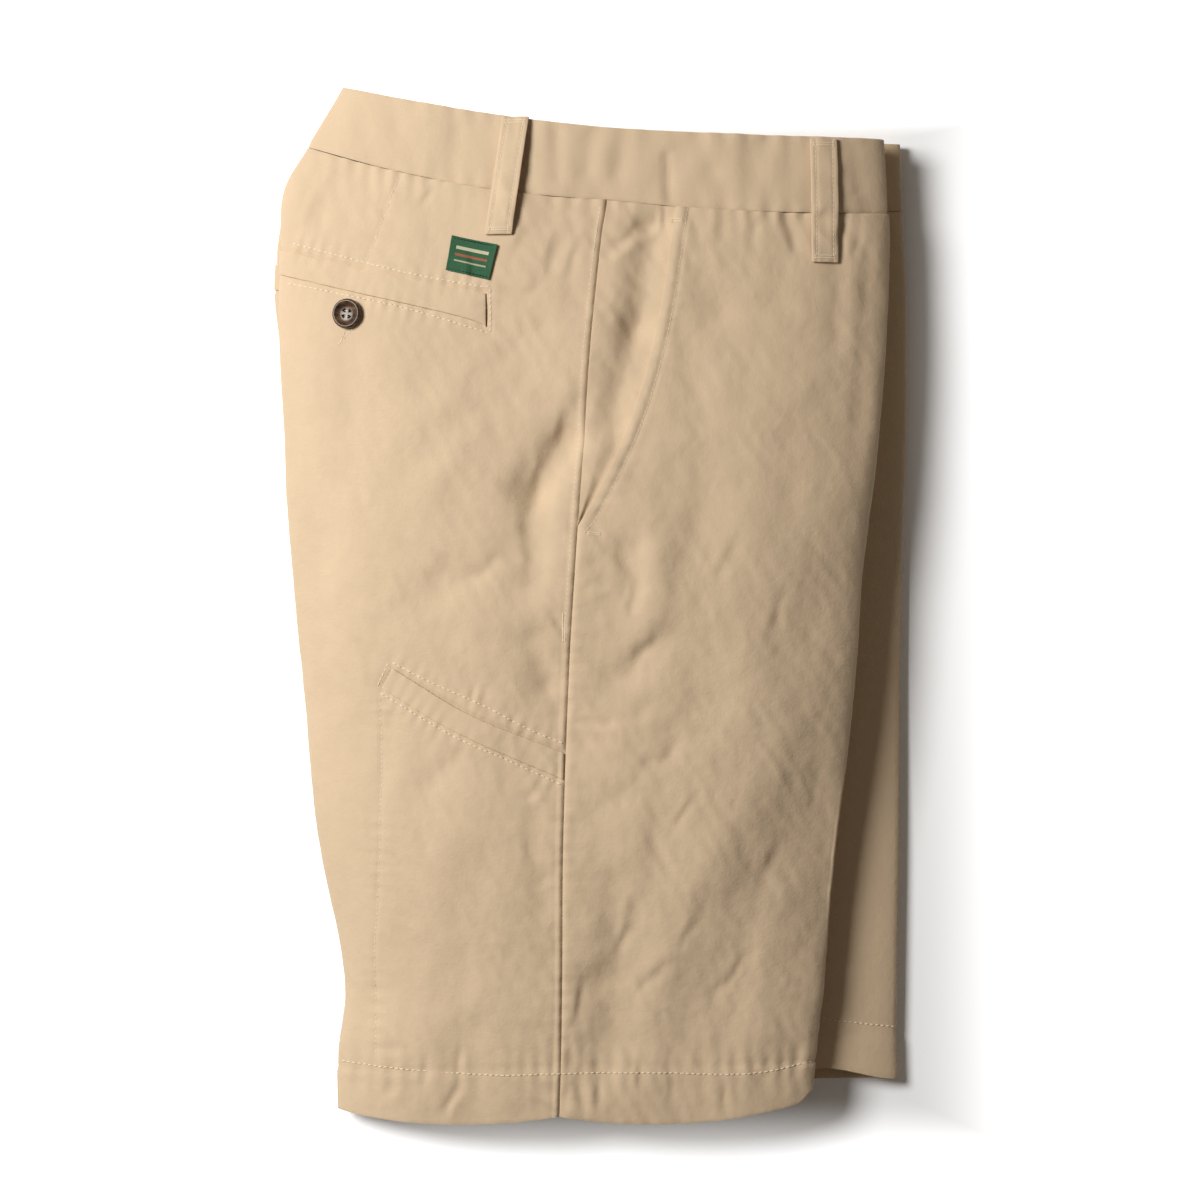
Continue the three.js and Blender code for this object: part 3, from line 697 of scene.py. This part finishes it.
def horn_material(settings):
    """Dark polished horn with lighter clouded streaks."""
    shader = Shader("Dark horn", Coat_Weight=0.1, Coat_Roughness=0.25, Specular_IOR_Level=0.3)
    place = shader.coordinates((1, 2.4, 1), (0, 0, 0.5))
    streak = shader.noise(place, 190.0, 4.0, 0.6)
    stops = ((0.36, (0.024, 0.011, 0.005, 1)), (0.54, (0.075, 0.036, 0.015, 1)),
             (0.72, (0.19, 0.11, 0.055, 1)))
    colour = shader.node("ShaderNodeValToRGB", {"stops": stops}, {"Fac": streak})
    rough = streak * 0.2 + 0.22
    return shader.use(Base_Color=colour, Roughness=rough)


# Bars across the label: the middle's height, half the width, and the yarn.
LABEL_BARS = (
    (0.70, 0.045, (0.55, 0.50, 0.33, 1)), (0.50, 0.035, (0.33, 0.10, 0.045, 1)),
    (0.33, 0.022, (0.45, 0.40, 0.26, 1)),
)


def label_material(settings):
    """Green woven ribbon with plain cream and rust bars."""
    shader = Shader("Woven label", Roughness=0.65, Sheen_Weight=0.1)
    uv = shader.coordinates(output="UV")
    across, up = shader.split(uv)
    grain = shader.noise(shader.coordinates(), 900.0, 2.0)
    inside = (across - 0.5).abs() < 0.36
    colour = shader.mix_colours(grain, (0.008, 0.060, 0.022, 1), (0.030, 0.140, 0.058, 1))
    for middle, reach, yarn in LABEL_BARS:
        bar = ((up - middle).abs() < reach) * inside
        colour = shader.mix_colours(bar, colour, yarn)
    weft = (up * 260.0).sin() * 0.5 + grain
    return shader.use(Base_Color=colour, Normal=shader.bump(weft, 0.5, 0.0003))


def label_thread_material(settings):
    """Dark green thread that holds the label."""
    shader = Shader("Label thread", Roughness=0.7)
    grain = shader.noise(shader.coordinates(), 700.0)
    colour = shader.mix_colours(grain, (0.004, 0.022, 0.009, 1), (0.010, 0.045, 0.020, 1))
    return shader.use(Base_Color=colour)


MAKERS = {
    "twill": twill_material, "thread": thread_material, "horn": horn_material,
    "label": label_material, "label_thread": label_thread_material,
}
MATERIALS = {}


def material(kind):
    if kind not in MATERIALS:
        MATERIALS[kind] = MAKERS[kind](bpy.context.scene.shorts_colours)
    return MATERIALS[kind]


# ---------- sizes of what is sewn on ----------

TRIM_WALL = 1.1
LAY_GAP = 0.45
LABEL_WALL = 0.5
LABEL = ((-71.6, 165), (-50.2, 159.8), (-68.6, 182.2), (-45.8, 177.1))
BUTTONS = {"right": (-120.5, 143.9), "left": (-119.0, 142.0)}
BUTTON_RADIUS = 7.5
BUTTON_HEIGHT = 3.2
HOLE_REACH = 1.3  # from the button's middle to a hole, in both directions
HOLE_RADIUS = 0.75
LOOP_WIDTH = 13.5
LOOP_STITCH = 4.2
PLAIN_STITCH = {"pitch": 2.8, "length": 2.0, "radius": 0.34}
FINE_STITCH = {"pitch": 2.4, "length": 1.5, "radius": 0.22}
TACK_STITCH = {"pitch": 1.1, "length": 1.3, "radius": 0.32}
EDGE_STITCH = {"pitch": 1.7, "length": 1.2, "radius": 0.26}


class Loop:
    """A belt loop between two plan points, arched on the right half, its right side lifted."""

    def __init__(self, name, high, low, arch, tilt):
        self.name, self.high, self.low = name, np.array(high, float), np.array(low, float)
        self.arch, self.tilt = arch, tilt

    def corners(self):
        reach = np.array((LOOP_WIDTH / 2, 0))
        return self.low - reach, self.low + reach, self.high - reach, self.high + reach

    def point(self, a, b):
        return mix(self.low, self.high, b) + np.array(((a - 0.5) * LOOP_WIDTH, 0))

    def lift(self, half, a, b):
        off = (a - 0.5) * LOOP_WIDTH
        ends = np.sin(math.pi * np.clip(b, 0, 1)) ** 0.7
        rows = 0.22 * (bell((off - LOOP_STITCH) / 0.9) + bell((off + LOOP_STITCH) / 0.9))
        rolled_edge = 0.3 * smooth_step(5.2, 6.8, np.abs(off))
        arch = (self.arch + self.tilt * a) * ends if half.top else 0
        wave = 0.16 * np.sin(b * 31 + a * 3) * ends
        return LAY_GAP + TRIM_WALL + 0.3 + arch + wave - rows - rolled_edge


LOOPS = (
    Loop("front", (115.6, 231), (116.4, 169), arch=0.9, tilt=0.3),
    Loop("side_back", (-37, 241.5), (-45.5, 182), arch=1.2, tilt=2.4),
)
HALVES = {"right": RIGHT, "left": LEFT}


def through(points, t):
    """A smooth line through plan points, t from 0 to 1 by its length."""
    points = np.array(points, float)
    run = np.concatenate([[0], np.cumsum(np.linalg.norm(np.diff(points, axis=0), axis=1))])
    if len(points) == 2:
        return mix(points[0], points[1], np.asarray(t)[:, None])
    at = np.asarray(t) * run[-1]
    return np.stack([curve(run, points[:, k], at) for k in (0, 1)], axis=-1)


class StitchRun:
    """Rows of stitches joined in one mesh."""

    def __init__(self, half, inner=False):
        self.bm = bmesh.new()
        self.half = half
        self.inner = inner

    def line(self, points, pitch, length, radius, lift=None):
        """Sews along a line. The lift is a function of the way along it, or none on bare cloth."""
        points = np.array(points, float)
        total = np.linalg.norm(np.diff(points, axis=0), axis=1).sum()
        count = max(1, round(total / pitch))
        middle = (np.arange(count) + 0.5) / count
        reach = length / 2 / total
        ends = []
        for sign in (-1, 1):
            t = np.clip(middle + sign * reach, 0, 1)
            ends.append(self.on_cloth(through(points, t), lift(t) if lift else None))
        for start, end in zip(*ends):
            self.stitch(Vector(start), Vector(end), radius * MM)

    def on_cloth(self, plan, lift):
        x, y = plan.T
        around, height = self.half.locate(x, y)
        if self.inner:
            around = 2 - around
        if lift is None:
            stand = panel_relief(self.half, around, height, x, y)
        else:
            stand = cloth_relief(self.half, around, height, x, y) + lift
        points = face(self.half, around, height) + normal(self.half, around, height) * stand[:, None]
        points[:, :2] += ORIGIN
        return points * MM

    def stitch(self, start, end, radius):
        axis = end - start
        turn = axis.to_track_quat("X", "Z").to_matrix().to_4x4()
        size = Matrix.Diagonal((axis.length / 2 + radius, radius * 1.25, radius, 1))
        place = Matrix.Translation((start + end) / 2) @ turn @ size
        bmesh.ops.create_uvsphere(self.bm, u_segments=6, v_segments=4, radius=1, matrix=place)

    def finish(self, name, kind):
        return finish_mesh(self.bm, name, material(kind))


# ---------- operators ----------

class ShortsColours(bpy.types.PropertyGroup):
    """The colours that a user may change."""
    cloth: FloatVectorProperty(name="Cloth", description="Colour of the twill", subtype="COLOR",
                               size=3, default=(0.645, 0.485, 0.320))
    thread: FloatVectorProperty(name="Thread", description="Colour of the sewing thread", subtype="COLOR",
                                size=3, default=(0.76, 0.62, 0.44))


class ShortsSizes(bpy.types.PropertyGroup):
    """The sizes that a user may change."""
    wall: FloatProperty(name="Cloth", description="Thickness of the panels", unit="LENGTH", default=0.0011)
    band: FloatProperty(name="Waistband", description="Thickness of the waistband", unit="LENGTH",
                        default=0.0023)


class SHORTS_OT_panels(bpy.types.Operator):
    """Make the four panels"""
    bl_idname = "shorts.panels"
    bl_label = "Fronts and backs"

    def execute(self, context):
        wall = context.scene.shorts_sizes.wall / MM
        for side, half in HALVES.items():
            for front in (True, False):
                self.panel(side, half, front, wall)
        return {"FINISHED"}

    def panel(self, side, half, front, wall):
        def place(a, b):
            height = mix(half.column["height"][0], WAIST_SEAM - SEAM_GAP, b)
            way = np.interp(a, (0, OUTER_SHARE, 1), (0, 0.5, 1))
            around = panel_around(half, front, height, way)
            height = height + hem_rise(half, around) * (1 - b) ** 4
            x, y = half.plan(fold_back(around), height)
            return around, height, panel_relief(half, around, height, x, y)

        name = f"{'front' if front else 'back'}_{side}"
        across, along = (176, 245) if half.top else (90, 120)
        piece = grid_piece(f"{name}_cloth", half, across, along, place, wall, material("twill"),
                           flip=front != half.top)
        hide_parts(name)


class SHORTS_OT_waistband(bpy.types.Operator):
    """Make the waistband's two halves"""
    bl_idname = "shorts.waistband"
    bl_label = "Waistband"

    def execute(self, context):
        for side, half in HALVES.items():
            self.band(side, half, context.scene.shorts_sizes.band / MM)
        return {"FINISHED"}

    def band(self, side, half, wall):
        def place(a, b):
            height = mix(WAIST_SEAM + SEAM_GAP, half.column["height"][-1], b)
            back = -2 - half.side_of(inner_edge(half, False, height), height)
            front = 2 - half.side_of(inner_edge(half, True, height), height)
            stretch = np.interp(a, (0, 0.14, 0.5, 0.86, 1), (0, 1, 2, 3, 4))
            turns = [math.pi / 2 * np.clip(stretch - before, 0, 1) for before in range(4)]
            under_back = mix(back, -1, np.sin(turns[0]))
            under_front = mix(1, front, 1 - np.cos(turns[3]))
            around = np.select([stretch < 1, stretch < 2, stretch < 3],
                               [under_back, -np.cos(turns[1]), np.sin(turns[2])], under_front)
            x, y = half.plan(fold_back(around), height)
            return around, height, band_relief(half, around, height, x, y)

        piece = grid_piece(f"waistband_{side}_cloth", half, 320, 26, place, wall, material("twill"),
                           flip=not half.top)
        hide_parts(f"waistband_{side}")


class SHORTS_OT_trims(bpy.types.Operator):
    """Make the facings, welts, belt loops and the label"""
    bl_idname = "shorts.trims"
    bl_label = "Facings, welts, loops and label"

    def execute(self, context):
        for side, half in HALVES.items():
            self.facing(side, half)
            self.back_welt(side, half)
            for loop in LOOPS:
                self.loop(side, half, loop)
        self.thigh_welt()
        self.label()
        return {"FINISHED"}

    def facing(self, side, half):
        def place(a, b):
            height = mix(MOUTH["bottom"] - 4, WAIST_SEAM - SEAM_GAP, b)
            mouth = mouth_width(height)
            seam = mix(0.1, mouth + 9, a)
            around = seam / half.width(True, height)
            x, y = half.plan(around, height)
            tuck = 0.2 + 1.4 * smooth_step(0.4 * mouth, 0.9 * mouth + 0.1, seam)
            return around, height, facing_relief(half, around, height, x, y) - tuck

        piece = grid_piece(f"pocket_facing_{side}_cloth", half, 44, 110, place, TRIM_WALL, material("twill"),
                           flip=not half.top)
        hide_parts(f"pocket_facing_{side}")

    def back_welt(self, side, half):
        starts = [half.locate(WELT_FRONT, y)[0] for y, _, _ in WELT_EDGES]

        def place(a, b):
            around = mix(mix(*starts, b), WELT_END[side], np.sin(math.pi / 2 * a))
            height = mix(*back_welt_edges(half, around), b)
            x, y = half.plan(fold_back(around), height)
            return around, height, panel_relief(half, around, height, x, y, bedded=False) + FLUSH

        piece = grid_piece(f"back_welt_{side}_cloth", half, 110, 14, place, TRIM_WALL, material("twill"),
                           flip=half.top)
        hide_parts(f"back_welt_{side}")

    def loop(self, side, half, loop):
        place = on_plan(half, loop.corners(), lambda a, b: loop.lift(half, a, b))
        piece = grid_piece(f"loop_{loop.name}_{side}_cloth", half, 26, 80, place, TRIM_WALL,
                           material("twill"), flip=not half.top)
        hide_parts(f"loop_{loop.name}_{side}")

    def thigh_welt(self):
        def place(a, b):
            x, y = mix(through(THIGH_LOW, a), through(THIGH_HIGH, a), b[:, None]).T
            around, height = RIGHT.locate(x, y)
            return around, height, panel_relief(RIGHT, around, height, x, y, bedded=False) + FLUSH

        piece = grid_piece("thigh_welt_right_cloth", RIGHT, 100, 14, place, TRIM_WALL, material("twill"))
        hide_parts("thigh_welt_right")

    def label(self):
        def lift(a, b):
            curl = 0.35 * np.abs(2 * a - 1) ** 5 + 0.2 * np.sin(6 * a + 2 * b)
            return LAY_GAP + LABEL_WALL + 0.2 + curl

        piece = grid_piece("label_right_cloth", RIGHT, 36, 28, on_plan(RIGHT, LABEL, lift), LABEL_WALL,
                           material("label"))
        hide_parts("label_right")


class SHORTS_OT_buttons(bpy.types.Operator):
    """Turn the horn buttons with their thread"""
    bl_idname = "shorts.buttons"
    bl_label = "Buttons"

    def execute(self, context):
        for side, half in HALVES.items():
            x, y = BUTTONS[side]
            around, height = half.locate(np.array([x]), np.array([y]))
            n = Vector(normal(half, around, height)[0])
            stand = LAY_GAP + 0.5
            centre = (face(half, around, height)[0] + np.array([*ORIGIN, 0])) * MM
            turn = n.to_track_quat("Z", "Y").to_matrix().to_4x4()
            place = Matrix.Translation(Vector(centre) + n * stand * MM) @ turn
            self.button(side, place)
        return {"FINISHED"}

    def button(self, side, place):
        r, top = BUTTON_RADIUS * MM, BUTTON_HEIGHT * MM
        outline = ((0.72, 0), (0.93, 0.22), (1, 0.5), (0.985, 0.75), (0.94, 0.93), (0.87, 1), (0.80, 0.97),
                   (0.73, 0.82), (0.62, 0.66), (0.40, 0.58), (0.14, 0.56))
        bm = bmesh.new()
        ring = [bm.verts.new((x * r, 0, z * top)) for x, z in outline]
        edges = [bm.edges.new(pair) for pair in zip(ring, ring[1:])]
        bmesh.ops.spin(bm, geom=ring + edges, axis=(0, 0, 1), cent=(0, 0, 0), angle=2 * math.pi, steps=64,
                       use_merge=True)
        bmesh.ops.holes_fill(bm, edges=[e for e in bm.edges if e.is_boundary], sides=0)
        bmesh.ops.recalc_face_normals(bm, faces=bm.faces)
        bm.transform(place)
        piece = finish_mesh(bm, f"button_{side}_horn", material("horn"))
        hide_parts(f"back_button_{side}")
        self.holes(piece, place, top)
        thread = bmesh.new()
        for x in (-HOLE_REACH, HOLE_REACH):
            strand = Matrix.Diagonal((0.2 * MM, 1.35 * MM, 0.2 * MM, 1))
            spot = place @ Matrix.Translation((x * MM, 0, 0.55 * top)) @ strand
            bmesh.ops.create_uvsphere(thread, u_segments=12, v_segments=8, radius=1, matrix=spot)
        finish_mesh(thread, f"button_{side}_thread", material("thread"))

    def holes(self, piece, place, top):
        drill = bmesh.new()
        for x in (-HOLE_REACH, HOLE_REACH):
            for y in (-HOLE_REACH, HOLE_REACH):
                spot = place @ Matrix.Translation((x * MM, y * MM, top / 2))
                bmesh.ops.create_cone(drill, cap_ends=True, segments=16, radius1=HOLE_RADIUS * MM,
                                      radius2=HOLE_RADIUS * MM, depth=3 * top, matrix=spot)
        mesh = bpy.data.meshes.new("drill")
        drill.to_mesh(mesh)
        drill.free()
        tool = bpy.data.objects.new("drill", mesh)
        bpy.context.scene.collection.objects.link(tool)
        cut = piece.modifiers.new("Holes", "BOOLEAN")
        cut.operation, cut.solver, cut.object = "DIFFERENCE", "EXACT", tool
        bpy.context.view_layer.update()
        drilled = bpy.data.meshes.new_from_object(piece.evaluated_get(bpy.context.evaluated_depsgraph_get()))
        piece.modifiers.clear()
        piece.data = drilled
        bpy.data.objects.remove(tool)
        bpy.data.meshes.remove(mesh)


class SHORTS_OT_stitches(bpy.types.Operator):
    """Sew the visible stitch lines"""
    bl_idname = "shorts.stitches"
    bl_label = "Stitches"

    def execute(self, context):
        run = StitchRun(RIGHT)
        self.seams(run)
        for name, points in SEWN.items():
            run.line(points, **(FINE_STITCH if name in ("dart", "pocket bag") else PLAIN_STITCH))
        for loop in LOOPS:
            self.loop_rows(run, loop)
        self.button_tail(run)
        run.finish("stitches_right", "thread")
        under = StitchRun(LEFT, inner=True)
        under.line([(100, -207), (126.5, -211), (154.6, -214.6)], **PLAIN_STITCH)
        under.finish("stitches_left", "thread")
        self.label_edge()
        return {"FINISHED"}

    def seams(self, run):
        """The hem, the side seam's top stitching and the slanted pocket mouth."""
        hem = ((-126, -231), (-65, -234.5), (-42, -235), (-15, -234), (35, -234), (65, -235), (86, -234),
               (111, -229))
        run.line(hem, **PLAIN_STITCH)
        down = (197, 160, 120, 80, 50, 20, -5, -16)
        run.line([(RIGHT.at("seamX", h) - 3.0, h) for h in down], **FINE_STITCH)
        slant = (196, 170, 140, 110, 85, 65, 50)
        mouth = [(RIGHT.at("seamX", h) + mouth_width(h) + MOUTH_STITCH, h) for h in slant]
        run.line(mouth + [(2.5, 41), (-3.5, 34)], **FINE_STITCH)
        for x, y in ((39.5, 190.2), (-1.2, 35.0)):
            for row in range(2):
                run.line([(x, y - row), (x + 6.2, y - row - 0.4)], **TACK_STITCH)
        for row in range(2):
            x = RIGHT.at("seamX", -18) - 3.6 + row
            run.line([(x, -5), (x, -19)], **TACK_STITCH)

    def loop_rows(self, run, loop):
        """Two rows down the loop, and two bars at each of its ends."""
        down, across = (0.05, 0.95), (0.12, 0.88)
        for a in (0.5 - LOOP_STITCH / LOOP_WIDTH, 0.5 + LOOP_STITCH / LOOP_WIDTH):
            run.line([loop.point(a, b) for b in down], **FINE_STITCH,
                     lift=lambda t, a=a: loop.lift(RIGHT, a, mix(*down, t)))
        for b in (0.035, 0.055, 0.945, 0.965):
            run.line([loop.point(a, b) for a in across], **TACK_STITCH,
                     lift=lambda t, b=b: loop.lift(RIGHT, mix(*across, t), b))

    def button_tail(self, run):
        """The sewn end of the buttonhole below the button."""
        x, y = BUTTONS["right"]
        tails = (((-1.2, -7), (-3.4, -13)), ((2.6, -7), (-2.6, -12.4)), ((-3.4, -13), (-5, -15)))
        for tail in tails:
            run.line([(x + right, y + up) for right, up in tail], **EDGE_STITCH)

    def label_edge(self):
        """A row inside the label's low edge and one inside its high edge."""
        run = StitchRun(RIGHT)
        low_start, low_end, high_start, high_end = (np.array(c, float) for c in LABEL)
        inward = 0.06 * (high_start - low_start)
        for start, end, shift in ((low_start, low_end, inward), (high_start, high_end, -inward)):
            run.line([mix(start, end, 0.03) + shift, mix(start, end, 0.97) + shift], **EDGE_STITCH,
                     lift=lambda t: np.full_like(t, LAY_GAP + LABEL_WALL + 0.3))
        run.finish("stitches_label", "label_thread")


KEY = {"place": (-1.14, 0.52, 1.30), "aim": (0.0, 0.0, 0.03), "size": 0.70, "power": 37.5}
SKY = {"colour": (1.0, 0.88, 0.75, 1), "strength": 0.125}
FLOOR_SIZE = 6.0
FLOOR_GREY = 0.93
FLOOR_GLOW = (0.01, 0.6)  # in the shadow beside the garment, and on the open floor
# Where the floor's glow starts and how fast it grows from there, in metres.
GLOW_STARTS = {"left": (-0.10, -25), "right": (0.158, 13), "hems": (-0.262, -28), "waist": (0.235, 50)}
HEM_GLOW = 0.35  # the glow's start at the hems, where the shadow is pale
CAMERA = {"height": 1.8, "view": 0.6102, "sensor": 36.0, "over": (4.7, 1.5)}


class SHORTS_OT_stage(bpy.types.Operator):
    """Set the floor, the lights and the camera"""
    bl_idname = "shorts.stage"
    bl_label = "Stage"

    def execute(self, context):
        scene = context.scene
        self.floor(scene)
        self.sky(scene)
        self.key(scene)
        self.camera(scene)
        scene.view_settings.view_transform = "Standard"
        return {"FINISHED"}

    def floor(self, scene):
        """A white floor that glows for the camera, but not where the garment's shadow falls."""
        floor = Shader("White floor", Roughness=1.0, Emission_Strength=1.0)
        floor.surface.inputs["Base Color"].default_value = (FLOOR_GREY, FLOOR_GREY, FLOOR_GREY, 1)
        x, y = floor.split(floor.coordinates())
        left, right, hems, waist = ((place - start) * growth for place, (start, growth)
                                    in zip((x, x, y, y), GLOW_STARTS.values()))
        clear = left.above(right).above((hems + HEM_GLOW).above(waist))
        ramp = {"Value": clear, "To Min": FLOOR_GLOW[0], "To Max": FLOOR_GLOW[1]}
        glow = floor.node("ShaderNodeMapRange", {"interpolation_type": "SMOOTHSTEP"}, ramp)
        camera_ray = floor.node("ShaderNodeLightPath", output="Is Camera Ray")
        glossy_ray = floor.node("ShaderNodeLightPath", output="Is Glossy Ray")
        floor.use(Emission_Color=glow * camera_ray.above(glossy_ray))
        bm = bmesh.new()
        bmesh.ops.create_grid(bm, x_segments=2, y_segments=2, size=FLOOR_SIZE)
        mesh = bpy.data.meshes.new("floor")
        bm.to_mesh(mesh)
        bm.free()
        plane = bpy.data.objects.new("floor", mesh)
        scene.collection.objects.link(plane)
        mesh.materials.append(floor.material)

    def sky(self, scene):
        world = bpy.data.worlds.new("Studio")
        scene.world = world
        world.use_nodes = True
        light = world.node_tree.nodes["Background"]
        light.inputs["Color"].default_value = SKY["colour"]
        light.inputs["Strength"].default_value = SKY["strength"]

    def key(self, scene):
        lamp = bpy.data.lights.new("Key", "AREA")
        lamp.shape = "DISK"
        lamp.size = KEY["size"]
        lamp.energy = KEY["power"]
        key = bpy.data.objects.new("Key", lamp)
        key.location = KEY["place"]
        back = Vector(KEY["place"]) - Vector(KEY["aim"])
        key.rotation_euler = back.to_track_quat("Z", "Y").to_euler()
        key.visible_camera = False
        scene.collection.objects.link(key)

    def camera(self, scene):
        lens = bpy.data.cameras.new("Camera")
        lens.sensor_width = CAMERA["sensor"]
        lens.lens = CAMERA["sensor"] * CAMERA["height"] / CAMERA["view"]
        camera = bpy.data.objects.new("Camera", lens)
        x, y = ((over + start) * MM for over, start in zip(CAMERA["over"], ORIGIN))
        camera.location = (x, y, CAMERA["height"])
        scene.collection.objects.link(camera)
        scene.camera = camera


class SHORTS_PT_panel(bpy.types.Panel):
    """Shows the colours, the sizes and the buttons that build the pieces"""
    bl_label = "Chino shorts"
    bl_idname = "SHORTS_PT_panel"
    bl_space_type = "VIEW_3D"
    bl_region_type = "UI"
    bl_category = "Shorts"

    def draw(self, context):
        for group in (context.scene.shorts_colours, context.scene.shorts_sizes):
            for key in group.__annotations__:
                self.layout.prop(group, key)
        for operator in OPERATORS:
            self.layout.operator(operator.bl_idname)


OPERATORS = (SHORTS_OT_stage, SHORTS_OT_panels, SHORTS_OT_waistband, SHORTS_OT_trims, SHORTS_OT_buttons,
             SHORTS_OT_stitches)
CLASSES = (ShortsColours, ShortsSizes, *OPERATORS, SHORTS_PT_panel)


def register():
    for item in CLASSES:
        bpy.utils.register_class(item)
    bpy.types.Scene.shorts_colours = PointerProperty(type=ShortsColours)
    bpy.types.Scene.shorts_sizes = PointerProperty(type=ShortsSizes)


def unregister():
    del bpy.types.Scene.shorts_sizes
    del bpy.types.Scene.shorts_colours
    for item in reversed(CLASSES):
        bpy.utils.unregister_class(item)


def main():
    register()
    bpy.ops.shorts.stage()
    bpy.ops.shorts.panels()
    bpy.ops.shorts.waistband()
    bpy.ops.shorts.trims()
    bpy.ops.shorts.buttons()
    bpy.ops.shorts.stitches()


if __name__ == "__main__":
    main()
